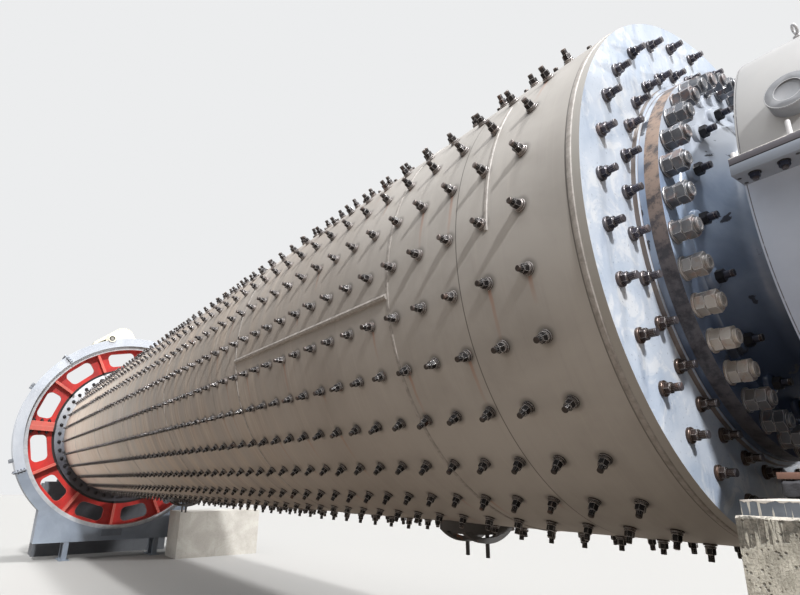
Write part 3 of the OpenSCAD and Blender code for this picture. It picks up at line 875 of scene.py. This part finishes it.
def flangeMaterial():
    # Painted light on top, painted shade where it turns under the mill, and a painted shadow ring at its
    # outer edge beside the gear
    look = {"high": shade(188, 191, 196), "middle": shade(104, 108, 116), "low": shade(58, 58, 65),
            "outer": shade(40, 38, 42), "edgeRadius": mill["shellR"] + 0.2105}
    material, coords, place, skin = newPaint("flangePaint", 2.4)
    height = heightOf(coords) + skin["Slow"] * 0.4
    color = mixed(remap(height, 3.1, 4.3), look["middle"], look["high"])
    color = mixed(remap(height, 3.1, 2.4), color, look["low"])
    color = mixed(place["Radius"] > look["edgeRadius"], color, look["outer"])
    return finished(material, color, 0.36 + skin["Slow"] * 0.2, skin["Height"], strength=0.3)


finishes = {
    "shell": shellMaterial(),
    "head": headMaterial(),
    "trunnion": trunnionMaterial(),
    "bearing": bearingMaterial(),
    "cover": paintMaterial("coverPaint", shade(124, 126, 130), shade(110, 113, 118),
        shade(140, 139, 138), rough=0.42, patch=9.0, dustAmount=0.3, bump=0.5),
    "coverRim": paintMaterial("coverRimPaint", shade(190, 190, 191), shade(174, 175, 177),
        shade(206, 204, 202), rough=0.34, patch=9.0, dustAmount=0.3),
    "gear": gearMaterial(),
    "guard": paintMaterial("guardPaint", shade(166, 171, 178), shade(150, 156, 165),
        shade(196, 195, 193), rough=0.4, patch=1.3, dustAmount=0.6, bump=0.25),
    "guardDark": paintMaterial("guardLugPaint", shade(104, 108, 114), shade(90, 94, 100),
        shade(150, 150, 150), rough=0.45, patch=3.0),
    # The guard's base is darker, and its bottom section takes the same colour as painted shade
    "guardBaseAndShade": paintMaterial("guardBaseAndShadePaint", shade(118, 127, 138), shade(103, 112, 124),
        shade(160, 161, 162), rough=0.4, patch=1.6, dustAmount=0.4, bump=0.25),
    "guardHatch": paintMaterial("guardHatchPaint", shade(92, 100, 111), shade(80, 88, 98),
        shade(130, 131, 132), rough=0.42, patch=2.0, dustAmount=0.4, bump=0.25),
    "hood": hoodMaterial(),
    "flange": flangeMaterial(),
    "manhole": paintMaterial("manholePaint", shade(58, 56, 55), shade(46, 44, 43), shade(96, 90, 84),
        rough=0.5, patch=3.0, dustAmount=0.3, rustAmount=0.2),
    "pier": castPierMaterial(),
    # The far pier and its sole plate are painted dark, as painted shade
    "farPierShaded": concreteMaterial("farPierShadedConcrete", shade(98, 101, 106), shade(82, 85, 90),
        shade(58, 60, 64)),
    "farSoleShaded": paintMaterial("farSoleShadedPaint", shade(96, 99, 104), shade(84, 87, 92),
        shade(120, 120, 120), rough=0.5, patch=3.0),
    "drivePier": concreteMaterial("drivePierConcrete", shade(168, 166, 160), shade(146, 143, 137),
        shade(112, 106, 99)),
    # The bedding mortar is painted dark grey; under the far bearing this is painted shade
    "mortar": concreteMaterial("beddingMortar", shade(72, 72, 76), shade(50, 50, 54),
        shade(32, 31, 33)),
    "sole": soleMaterial(),
    "bush": steelMaterial("bushMetal", shade(186, 164, 118), shade(150, 130, 92), 0.2, 0.1),
    "seal": steelMaterial("sealIron", shade(110, 112, 116), shade(80, 82, 86), 0.5, 0.25),
    # Liner bolts, washers and tips get painted shade lower down, and the bolts and washers painted
    # highlights along their corners
    "bolt": steelMaterial("linerBoltSteel", shade(46, 42, 42), shade(24, 22, 24), 0.25, 0.2,
        metallic=0.55, rough=0.32, thread="radial", low=shade(24, 22, 23), edge=0.003),
    "washer": steelMaterial("washerSteel", shade(122, 114, 110), shade(68, 62, 60), 0.3, 0.2,
        metallic=0.6, rough=0.32, low=shade(58, 52, 49), edge=0.003),
    # Tips are painted lighter than the studs, as painted highlight
    "linerTip": steelMaterial("linerTipSteel", shade(112, 102, 98), shade(72, 64, 60), 0.35, 0.25,
        metallic=0.6, rough=0.32, thread="radial", low=shade(50, 45, 43)),
    # Head washers and bolts are painted darker lower down as painted shade, and the bolts get painted
    # highlights along their corners
    "headWasher": steelMaterial("headWasherSteel", shade(110, 107, 110), shade(72, 69, 73), 0.3, 0.2,
        metallic=0.6, rough=0.32, low=shade(80, 66, 58)),
    "headBolt": steelMaterial("headBoltSteel", shade(76, 74, 84), shade(42, 41, 50), 0.25, 0.18,
        metallic=0.75, rough=0.28, thread="along", low=shade(60, 50, 46), edge=0.003),
    # Stud ends are painted lighter than the studs, as painted highlight
    "studEnd": steelMaterial("studEndSteel", shade(98, 94, 97), shade(66, 63, 67), 0.25, 0.2,
        metallic=0.5, rough=0.34, thread="along"),
    "splitNut": steelMaterial("splitNutSteel", shade(62, 67, 84), shade(40, 44, 58), 0.2, 0.1,
        metallic=0.6, rough=0.3),
    # Big nuts are painted lighter lower down as painted light, darker lowest down as painted shade, with
    # painted highlights along their corners
    "bigNut": steelMaterial("bigNutZinc", shade(112, 115, 120), shade(84, 87, 93), 0.35, 0.35,
        metallic=0.45, rough=0.34, low=shade(176, 168, 158), edge=0.005, lowest=shade(86, 88, 94)),
    "pinStud": steelMaterial("pinStudSteel", shade(56, 59, 74), shade(40, 42, 54), 0.2, 0.15,
        metallic=0.4, thread="along"),
    "blackNut": steelMaterial("blackNutSteel", shade(38, 38, 42), shade(26, 26, 30), 0.1, 0.1,
        metallic=0.3),
    "lightPin": paintMaterial("lightPinPaint", shade(190, 189, 190), shade(172, 171, 173),
        shade(206, 204, 203), rough=0.35, patch=9.0),
    "weld": paintMaterial("weldPaint", shade(150, 145, 140), shade(126, 121, 116), shade(180, 172, 163),
        rough=0.42, patch=30.0, bump=0.9),
}
print("materials made:", len(finishes))


# The CAD nodes keep their shapes and get their finishes

nodeFinishes = {
    "pier": ("near_pier",),
    "farPierShaded": ("far_pier",),
    "drivePier": ("drive_pier",),
    "mortar": ("near_bedding", "far_bedding"),
    "sole": ("near_sole_plate",),
    "farSoleShaded": ("far_sole_plate",),
    "bearing": ("near_bearing_base", "far_bearing_base", "near_bearing_cap", "far_bearing_cap"),
    "cover": ("near_cap_covers", "far_cap_covers"),
    "bush": ("near_bush", "far_bush"),
    "seal": ("near_seals", "far_seals"),
    "shell": ("near_end_ring", "near_short_course", "shell_course_1", "shell_course_2", "shell_course_3",
              "shell_course_4", "shell_course_5", "far_short_course", "far_end_ring"),
    "head": ("near_head", "far_head"),
    "trunnion": ("near_trunnion", "far_trunnion"),
    "flange": ("shell_flange",),
    "gear": ("girth_gear_upper", "girth_gear_lower"),
    "manhole": ("manhole_1", "manhole_2"),
    "guard": ("guard_top", "guard_front", "guard_rear"),
    "guardBaseAndShade": ("guard_bottom", "guard_base"),
    "guardHatch": ("guard_hatch",),
    "hood": ("guard_hood",),
}
for finish, names in nodeFinishes.items():
    for name in names:
        coat(nodes[name], finishes[finish])


# The bearing housings get rounded edges, so that their split and their rims show as lines

for end, direction in ends:
    for ending, width in (("_bearing_base", 0.003), ("_bearing_cap", 0.003), ("_cap_covers", 0.0012)):
        softened(end + ending, "stand", width)
print("bearing housings softened")


# The trunnion flanges are made as thick as they look in the photo


def thickened(nodeName, direction):
    look = {"nearest": 0.070, "farthest": 0.125, "above": 0.80, "cadFace": 0.076, "smooth": 35}
    piece = cadCopy(nodeName, nodeName + "_thickened")
    bpy.ops.mesh.select_mode(type="VERT")
    bpy.ops.mesh.select_all(action="DESELECT")
    bpy.ops.object.mode_set(mode="OBJECT")
    for vertex in piece.data.vertices:
        out = abs(vertex.co.x) - mill["headX"]
        radius = math.hypot(vertex.co.y - mill["axisY"], vertex.co.z - mill["axisZ"])
        vertex.select = radius > look["above"] and look["nearest"] < out < look["farthest"]
    bpy.ops.object.mode_set(mode="EDIT")
    bpy.ops.transform.translate(value=alongMill * direction * (mill["flangeOut"] - look["cadFace"]))
    bpy.ops.object.mode_set(mode="OBJECT")
    smooth(piece, look["smooth"])
    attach(piece, "drum")
    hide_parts(nodeName)


for end, direction in ends:
    thickened(end + "_trunnion", direction)
print("trunnion flanges thickened")


# Bolts of the shell liners


def fastener(name, angle, **parts):
    # Each part has its finish, the function that draws it and its sizes
    made = [coat(draw(*sizes), finishes[finish]) for finish, draw, *sizes in parts.values()]
    return smooth(joined(made, name), angle)


def linerBolts():
    manholes = [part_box(name) for name in ("manhole_1", "manhole_2")]
    clear = 0.34   # from a manhole's middle to the nearest bolt
    source = fastener(
        "linerBolt", 35,
        washer=("washer", turned, [(0.0335, -0.004), (0.0335, 0.006), (0.0315, 0.008)], 14),
        cup=("washer", turned, [(0.024, 0.007), (0.024, 0.011), (0.0292, 0.0115), (0.0292, 0.016),
                                (0.0265, 0.019)], 12),
        nut=("bolt", turned, [(0.0255, 0.018), (0.0255, 0.043), (0.022, 0.048)], 6),
        stud=("bolt", turned, [(0.0155, 0.046), (0.0155, 0.070)], 10),
        tip=("linerTip", turned, [(0.0155, 0.070), (0.0155, 0.077), (0.0135, 0.079)], 10))
    parts = {"near": [], "second": [], "third": [], "far": []}
    for column in range(mill["boltColumns"]):
        x = mill["headX"] - mill["firstBolt"] - column * mill["boltPitch"]
        for row in range(mill["boltRows"]):
            angle = mill["firstRow"] + row * 360 / mill["boltRows"]
            spot = aroundMill(x, angle, mill["shellR"])
            if spot.z < mill["axisZ"] and any(
                    math.hypot((low.x + high.x) / 2 - x, spot.y - mill["axisY"]) < clear
                    for low, high in manholes):
                continue
            place = radialPlace(x, angle, mill["shellR"], seed.uniform(0, 60))
            stand = Matrix.Diagonal((1, 1, seed.uniform(0.92, 1.08), 1))
            parts[list(parts)[column * 4 // mill["boltColumns"]]].append(place @ stand)
    for part, places in parts.items():
        piece = spread(source, part + "_liner_bolts", places)
        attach(piece, "drum")
        print(part, "liner bolts:", len(places))
    discard(source)


linerBolts()


# Bolts of the heads, the trunnion flanges and the trunnion liners


def headBoltShape():
    return fastener(
        "headBolt", 25,
        washer=("headWasher", turned, [(0.0345, -0.002), (0.0345, 0.012), (0.032, 0.0145)], 20),
        nut=("headBolt", hexNut, 0.0265, 0.0135, 0.040),
        stud=("headBolt", turned, [(0.0175, 0.038), (0.0175, 0.074)], 14),
        tip=("studEnd", turned, [(0.0175, 0.074), (0.0175, 0.0795), (0.0160, 0.081)], 14))


def doubleNutShape():
    return fastener(
        "doubleNut", 20,
        washer=("bigNut", turned, [(0.056, -0.002), (0.056, 0.008), (0.054, 0.010)], 24),
        lower=("bigNut", hexNut, 0.0525, 0.009, 0.0515, 0, True),
        upper=("bigNut", hexNut, 0.0525, 0.0525, 0.096, 9, True),
        stud=("bigNut", turned, [(0.033, 0.095), (0.033, 0.110), (0.0315, 0.1115), (0.024, 0.1115),
                                 (0.0235, 0.108), (0.0190, 0.108), (0.0185, 0.1115),
                                 (0.004, 0.1115)], 20))


def conePinShape():
    return fastener(
        "conePin", 30,
        pad=("trunnion", turned, [(0.056, -0.05), (0.056, 0.002), (0.051, 0.012), (0.038, 0.019)], 22),
        nut=("blackNut", hexNut, 0.032, 0.017, 0.052),
        stud=("pinStud", turned, [(0.0175, 0.050), (0.0175, 0.078)], 14),
        tip=("headBolt", turned, [(0.0175, 0.078), (0.0175, 0.090), (0.0160, 0.092)], 14))


def evenly(first, count, span=360.0):
    return [first + number * span / count for number in range(count)]


def endBolts():
    # Two long pitches meet where the outer ring's bolts were laid out from both sides
    outer = evenly(-57.9, 9, 93.7) + evenly(35.8, 23, 266.3)
    pins = [-43, -21, -2, 17, 38] + evenly(60, 13, 257)
    rings = [   # name, shape, distance out from the head, radius and angles
        ("head_outer_bolts", headBoltShape(), 0, 1.335, outer),
        ("head_inner_bolts", headBoltShape(), 0, 1.145, evenly(3.9, 35)),
        ("trunnion_nuts", doubleNutShape(), mill["flangeOut"], 1.010, evenly(2.3, 38)),
        ("trunnion_pins", conePinShape(), 0.150, 0.825, pins),
    ]
    for name, source, out, radius, angles in rings:
        for end, direction in ends:
            x = (mill["headX"] + out) * direction
            places = [axialPlace(x, angle, radius, seed.uniform(0, 60), direction) for angle in angles]
            piece = spread(source, end + "_" + name, places)
            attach(piece, "drum")
        discard(source)


endBolts()
print("end bolts placed")


# Bolts that hold the girth gear to the shell flange, and its two halves to each other


def plainBolt(name, finish, radius, height, studRadius, reach):
    return fastener(
        name, 32,
        washer=(finish, turned, [(radius * 1.18, -0.002), (radius * 1.18, 0.006),
                                 (radius * 1.1, 0.008)], 16),
        nut=(finish, turned, [(radius, 0.006), (radius, height - 0.004), (radius * 0.88, height)], 6),
        stud=(finish, turned, [(studRadius, height - 0.002), (studRadius, reach - 0.003),
                               (studRadius * 0.8, reach)], 12))


def flangeBolts():
    ring = {"radius": 1.582, "count": 48, "first": -2.4, "web": 0.06}
    source = plainBolt("flangeBolt", "blackNut", 0.036, 0.038, 0.018, 0.058)
    webX = flangeBox[0].x - ring["web"]
    places = []
    for angle in evenly(ring["first"], ring["count"]):
        places.append(axialPlace(mill["flangeX"], angle, ring["radius"], seed.uniform(0, 60)))
        places.append(axialPlace(webX, angle, ring["radius"], seed.uniform(0, 60), -1))
    piece = spread(source, "gear_flange_bolts", places)
    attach(piece, "drum")
    discard(source)


def gearJointBolts():
    # The halves meet along a line through the axis, where bolts in rows of two clamp the joint plates
    joint = {"angle": 2.5, "plate": 0.11, "radii": (1.86, 2.02, 2.19), "offset": 0.095}
    source = plainBolt("jointBolt", "blackNut", 0.040, 0.045, 0.021, 0.075)
    places = []
    for side in (0, 180):
        angle = joint["angle"] + side
        outward = outwardAt(angle)
        for radius in joint["radii"]:
            for direction in (1, -1):
                for x in (mill["gearX"] - joint["offset"], mill["gearX"] + joint["offset"]):
                    places.append(acrossPlace(x, angle, radius, direction, joint["plate"], outward))
    piece = spread(source, "gear_joint_bolts", places)
    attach(piece, "drum")
    discard(source)


flangeBolts()
gearJointBolts()
print("gear bolts placed")


# Fasteners of the bearing housings


def bearingBolts():
    look = {"boltY": 1.105, "under": -0.045, "stations": (0.068, 0.168, 0.268, 0.368),
            "pinY": 1.100, "pins": ((0.007, 0.042), (0.205, 0.080), (0.433, 0.042)), "pinTop": 0.032,
            "holes": ((0.012, 1.101), (0.015, 1.047), (0.219, 1.123), (0.428, 1.101), (0.425, 1.047))}
    source = fastener(
        "splitNut", 25,
        washer=("blackNut", turned, [(0.0225, -0.001), (0.0225, 0.0035), (0.021, 0.0045)], 20),
        nut=("splitNut", hexNut, 0.0195, 0.004, 0.021),
        stud=("studEnd", turned, [(0.0115, 0.020), (0.0115, 0.030), (0.0105, 0.031)], 14))
    hole = coat(turned([(0.0075, -0.001), (0.0075, 0.0006)], 12), finishes["blackNut"])
    down = Vector((0, 0, -1))
    for end, direction in ends:
        def at(station, y, z):
            return Vector(((bearingBox[0].x + station) * direction, mill["axisY"] + y, mill["axisZ"] + z))
        places, holes, pins = [], [], []
        for side in (-1, 1):
            for station in look["stations"]:
                spot = at(station, look["boltY"] * side, look["under"])
                places.append(framed(spot, down, alongMill, seed.uniform(0, 60)))
            for station, y in look["holes"]:
                holes.append(framed(at(station, y * side, look["under"]), down, alongMill))
            for station, reach in look["pins"]:
                pin = turned([(0.0095, -0.002), (0.0095, reach - 0.005), (0.008, reach - 0.001),
                              (0.005, reach)], 16)
                pin.data.transform(Matrix.Translation(at(station, look["pinY"] * side, look["pinTop"])))
                pins.append(coat(pin, finishes["lightPin"]))
        shapes = [spread(source, end + "_split_nuts", places), spread(hole, end + "_split_holes", holes),
                  smooth(joined(pins, end + "_split_pins"), 40)]
        for piece in shapes:
            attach(piece, "stand")
    discard(source, hole)


def coverRims():
    # Thin raised rims round each cover's face and round its recess
    look = {"angle": 14.0, "faceR": 1.0905, "rims": ((0.0815, 0.0026), (0.0495, 0.0022))}
    for end, direction in ends:
        rims = []
        for angle in (look["angle"], 180 - look["angle"]):
            for radius, wire in look["rims"]:
                deselect()
                bpy.ops.mesh.primitive_torus_add(major_segments=56, minor_segments=8, major_radius=radius,
                                                 minor_radius=wire)
                rim = coat(settle(bpy.context.object, "rim"), finishes["coverRim"])
                rim.data.transform(radialPlace(mill["bearingX"] * direction, angle, look["faceR"] - wire))
                rims.append(rim)
        piece = smooth(joined(rims, end + "_cover_rims"), 60)
        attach(piece, "stand")


def eyeBolts():
    look = {"angle": 45.8, "radius": 1.003, "crownDrop": 0.243, "ring": 0.021, "wire": 0.0062,
            "ringHeight": 0.038, "skew": -0.45}
    collar = coat(turned([(0.019, -0.004), (0.019, 0.006), (0.016, 0.009), (0.009, 0.012),
                          (0.009, 0.020)], 18), finishes["lightPin"])
    deselect()
    bpy.ops.mesh.primitive_torus_add(major_segments=28, minor_segments=10, major_radius=look["ring"],
                                     minor_radius=look["wire"], location=(0, 0, look["ringHeight"]),
                                     rotation=(math.pi / 2, 0, 0))
    eye = coat(settle(bpy.context.object, "eye"), finishes["lightPin"])
    source = smooth(joined([collar, eye], "eyeBolt"), 40)
    for end, direction in ends:
        places = []
        for side in (1, -1):
            angle = look["angle"] if side == 1 else 180 - look["angle"]
            spot = aroundMill(mill["bearingX"] * direction, angle, look["radius"])
            crown = Vector((spot.x, mill["axisY"], mill["axisZ"] - look["crownDrop"]))
            places.append(framed(spot, spot - crown, Vector((look["skew"] * direction, side, 0))))
        piece = spread(source, end + "_eye_bolts", places)
        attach(piece, "stand")
    discard(source)


bearingBolts()
coverRims()
eyeBolts()
print("bearing fasteners placed")


# Joint plates and bolts of the gear guard


def guardJoints():
    # Two upright plates with bolts stand on each side plate where the guard's sections meet
    look = {"angles": (46, -23.5, 134, 203.5), "inner": 2.342, "outer": 2.54, "thick": 0.012,
            "gap": 0.006, "height": 0.036, "bevel": 0.002, "boltAt": (2.375, 2.44, 2.505),
            "boltHeight": 0.55,    # of the plate's height
            "flangeR": 2.574, "flangeHalf": 0.012, "firstFlangeBolt": 0.055, "flangePitch": 0.11,
            "flangeBolts": 5}
    faces = ((guardBox[1].x, 1), (guardBox[0].x, -1))
    bolt = plainBolt("guardBolt", "splitNut", 0.015, 0.016, 0.008, 0.024)
    ribs, places = [], []
    for angle in look["angles"]:
        for side in (-1, 1):
            for x, direction in faces:
                low = (x, side * look["gap"], look["inner"])
                high = (x + direction * look["height"], side * (look["gap"] + look["thick"]), look["outer"])
                rib = block([min(pair) for pair in zip(low, high)], [max(pair) for pair in zip(low, high)],
                            look["bevel"])
                rib.data.transform(radialPlace(0, angle, 0))
                ribs.append(coat(rib, finishes["guard"]))
    for angle in look["angles"]:
        for x, direction in faces:
            boltX = x + direction * look["height"] * look["boltHeight"]
            for radius in look["boltAt"]:
                for side in (-1, 1):
                    places.append(acrossPlace(boltX, angle, radius, side, look["gap"] + look["thick"]))
    # Bolts through the flanges on the outside of the joints
    for angle in look["angles"]:
        for number in range(look["flangeBolts"]):
            x = guardBox[0].x + look["firstFlangeBolt"] + number * look["flangePitch"]
            for side in (-1, 1):
                places.append(acrossPlace(x, angle, look["flangeR"], side, look["flangeHalf"]))
    plates = smooth(joined(ribs, "guard_joint_plates"), 30)
    bolts = spread(bolt, "guard_joint_bolts", places)
    for piece in (plates, bolts):
        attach(piece, "stand")
    discard(bolt)


def guardLugs():
    # Lifting and fixing lugs that stand on the guard's outer edge
    look = {"angles": (24, -17, 156, 185), "low": 2.538, "high": 2.622, "halfWidth": 0.045,
            "thick": 0.016, "fromFace": 0.03, "bevel": 0.004}
    lugs = []
    for angle in look["angles"]:
        for x in (guardBox[0].x + look["fromFace"], guardBox[1].x - look["fromFace"]):
            lug = block((x - look["thick"] / 2, -look["halfWidth"], look["low"]),
                        (x + look["thick"] / 2, look["halfWidth"], look["high"]), look["bevel"])
            lug.data.transform(radialPlace(0, angle, 0))
            lugs.append(coat(lug, finishes["guardDark"]))
    piece = smooth(joined(lugs, "guard_lugs"), 30)
    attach(piece, "stand")


guardJoints()
guardLugs()
print("guard joints made")


# Mortar under each bearing: a rough slab with a rounded edge


def roughMortar(nodeName):
    # The slab is pushed in and out by noise, and stays inside the CAD slab's box
    look = {"inset": Vector((0.006, 0.006, 0)), "drop": Vector((0.006, 0.006, 0.003)), "edge": 0.012,
            "cell": 0.009, "lump": 0.035, "bulge": 0.012, "middle": 0.55}
    low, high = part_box(nodeName)
    piece = block(low + look["inset"], high - look["drop"], look["edge"], 3)
    activate(piece)
    editAll()
    bpy.ops.mesh.quads_convert_to_tris()
    bpy.ops.object.mode_set(mode="OBJECT")
    modified(piece, "REMESH", mode="VOXEL", voxel_size=look["cell"])
    texture = setAll(bpy.data.textures.new(nodeName + "_lumps", "CLOUDS"),
                     {"noise_scale": look["lump"], "noise_depth": 3})
    modified(piece, "DISPLACE", texture=texture, texture_coords="LOCAL", strength=look["bulge"],
             mid_level=look["middle"])
    piece.name = nodeName + "_rough"
    coat(smooth(piece, 40), finishes["mortar"])
    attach(piece, "stand")
    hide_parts(nodeName)


for end, direction in ends:
    roughMortar(end + "_bedding")
print("mortar roughened")


# Weld seams of the shell


def shellWelds():
    # Each seam is (half width, height); the crooked bead runs from the top down to level
    seams = {"head": 0.055, "firstCourse": 1.395, "pitch": 2.43, "courses": 6, "ring": (0.015, 0.006),
             "long": (0.021, 0.007), "longStart": -4.6, "longStep": 68,
             "crooked": {"x": 0.556, "from": 34, "to": 0, "size": (0.013, 0.007)}}
    radius = mill["shellR"]
    headX = mill["headX"]
    pieces = [weldRing(side * (headX - seams["head"]), radius, *seams["ring"]) for side in (1, -1)]
    for number in range(seams["courses"]):
        x = headX - seams["firstCourse"] - number * seams["pitch"]
        pieces.append(weldRing(x, radius, *seams["ring"]))
        if number < seams["courses"] - 1:
            angle = seams["longStart"] + number * seams["longStep"]
            pieces.append(weldLine(x, x - seams["pitch"], angle, radius, *seams["long"]))
    crooked = seams["crooked"]
    pieces.append(weldRun(headX - crooked["x"], crooked["from"], crooked["to"], radius, *crooked["size"]))
    piece = joined([coat(smooth(p), finishes["weld"]) for p in pieces], "shell_welds")
    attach(piece, "drum")


shellWelds()
print("shell welds laid")


# Camera, light and floor


def lookFromPhoto():
    view = {
        "place": (9.1903, -3.6822, 1.8276),
        "right": (0.5987, 0.8010, 0.0047),
        "up": (0.2489, -0.1916, 0.9494),
        "forward": (-0.7613, 0.5672, 0.3141),
        "lens": {"lens": 25.017, "sensor_width": 36.0, "sensor_fit": "HORIZONTAL", "clip_start": 0.05,
                 "clip_end": 400},
    }
    lens = setAll(bpy.data.cameras.new("photoCamera"), view["lens"])
    camera = bpy.data.objects.new("photoCamera", lens)
    bpy.context.scene.collection.objects.link(camera)
    turn = Matrix((view["right"], view["up"], [-v for v in view["forward"]])).transposed()
    camera.matrix_world = Matrix.Translation(view["place"]) @ turn.to_4x4()
    bpy.context.scene.camera = camera


def makeFloor():
    look = {"size": 160.0, "seen": shade(142, 141, 139), "bounce": shade(120, 110, 100),
            "roughness": 0.85}
    deselect()
    bpy.ops.mesh.primitive_plane_add(size=look["size"], location=(0, 0, 0))
    floor = settle(bpy.context.object, "floor")
    material, coords = newMaterial("floorPale")
    seen = addNode(coords.tree, "ShaderNodeLightPath", {}, "Is Camera Ray")
    color = mixed(seen, look["bounce"], look["seen"])
    coat(floor, surfaced(material, {"Base Color": color, "Roughness": look["roughness"]}))


def hang(lamp, place, backward):
    # A lamp shines along its own -z, so its z axis points back to where the light comes from
    holder = bpy.data.objects.new(lamp.name, lamp)
    holder.matrix_world = framed(place, backward, alongMill)
    bpy.context.scene.collection.objects.link(holder)


def makeLight():
    look = {
        "zenith": (0.97, 0.98, 1.0, 1.0), "horizon": (0.12, 0.13, 0.14, 1.0), "ambient": 1.02,
        "backdrop": shade(236, 237, 238),
        # Roof lights above the mill and above the camera, and windows and a door beyond the near end
        "suns": {   # name: (where it shines from, energy, angle)
            "skyLight": ((1.18, -0.34, 1.0), 4.3, 3.5),
            "roofLight": ((0.27, 0.03, 1.0), 2.9, 8.0),
            "softRoofLight": ((0.12, -0.34, 1.0), 1.35, 60.0),
            "windowLight": ((0.42, 0.86, 0.22), 3.2, 6.0),
            "doorLight": ((1.0, -0.16, 0.06), 0.35, 60.0),
        },
        # A window beside the girth gear
        "side": {"place": (-8.0, -8.5, 2.6), "aim": (-6.2, -1.0, 2.4), "size": 5.0, "energy": 135.0,
                 "spread": 96.0},
    }
    world = bpy.data.worlds.new("studio")
    bpy.context.scene.world = world
    world.use_nodes = True
    tree = world.node_tree
    tree.nodes.clear()
    height = heightOf(addNode(tree, "ShaderNodeTexCoord", {}, "Generated"))
    dome = mixed(remap(height, 0.2, 0.95), look["horizon"], look["zenith"])
    light = addNode(tree, "ShaderNodeBackground", {"Color": dome, "Strength": look["ambient"]})
    backdrop = addNode(tree, "ShaderNodeBackground", {"Color": look["backdrop"]})
    camera, through = [addNode(tree, "ShaderNodeLightPath", {}, key)
                       for key in ("Is Camera Ray", "Is Transmission Ray")]
    sky = addNode(tree, "ShaderNodeMixShader", {0: clamped(camera + through), 1: light, 2: backdrop})
    plug(tree, tree.nodes.new("ShaderNodeOutputWorld").inputs[0], sky)
    for number, (name, (toward, energy, angle)) in enumerate(look["suns"].items()):
        lamp = setAll(bpy.data.lights.new(name, "SUN"), {"energy": energy, "angle": math.radians(angle)})
        hang(lamp, Vector((4 + 3 * number, -8, 12)), Vector(toward))
    side = look["side"]
    lamp = setAll(bpy.data.lights.new("sideWindow", "AREA"),
                  {"energy": side["energy"], "size": side["size"], "spread": math.radians(side["spread"])})
    hang(lamp, Vector(side["place"]), Vector(side["place"]) - Vector(side["aim"]))


lookFromPhoto()
makeFloor()
makeLight()

bpy.context.scene.view_settings.view_transform = "Standard"
print("scene ready")
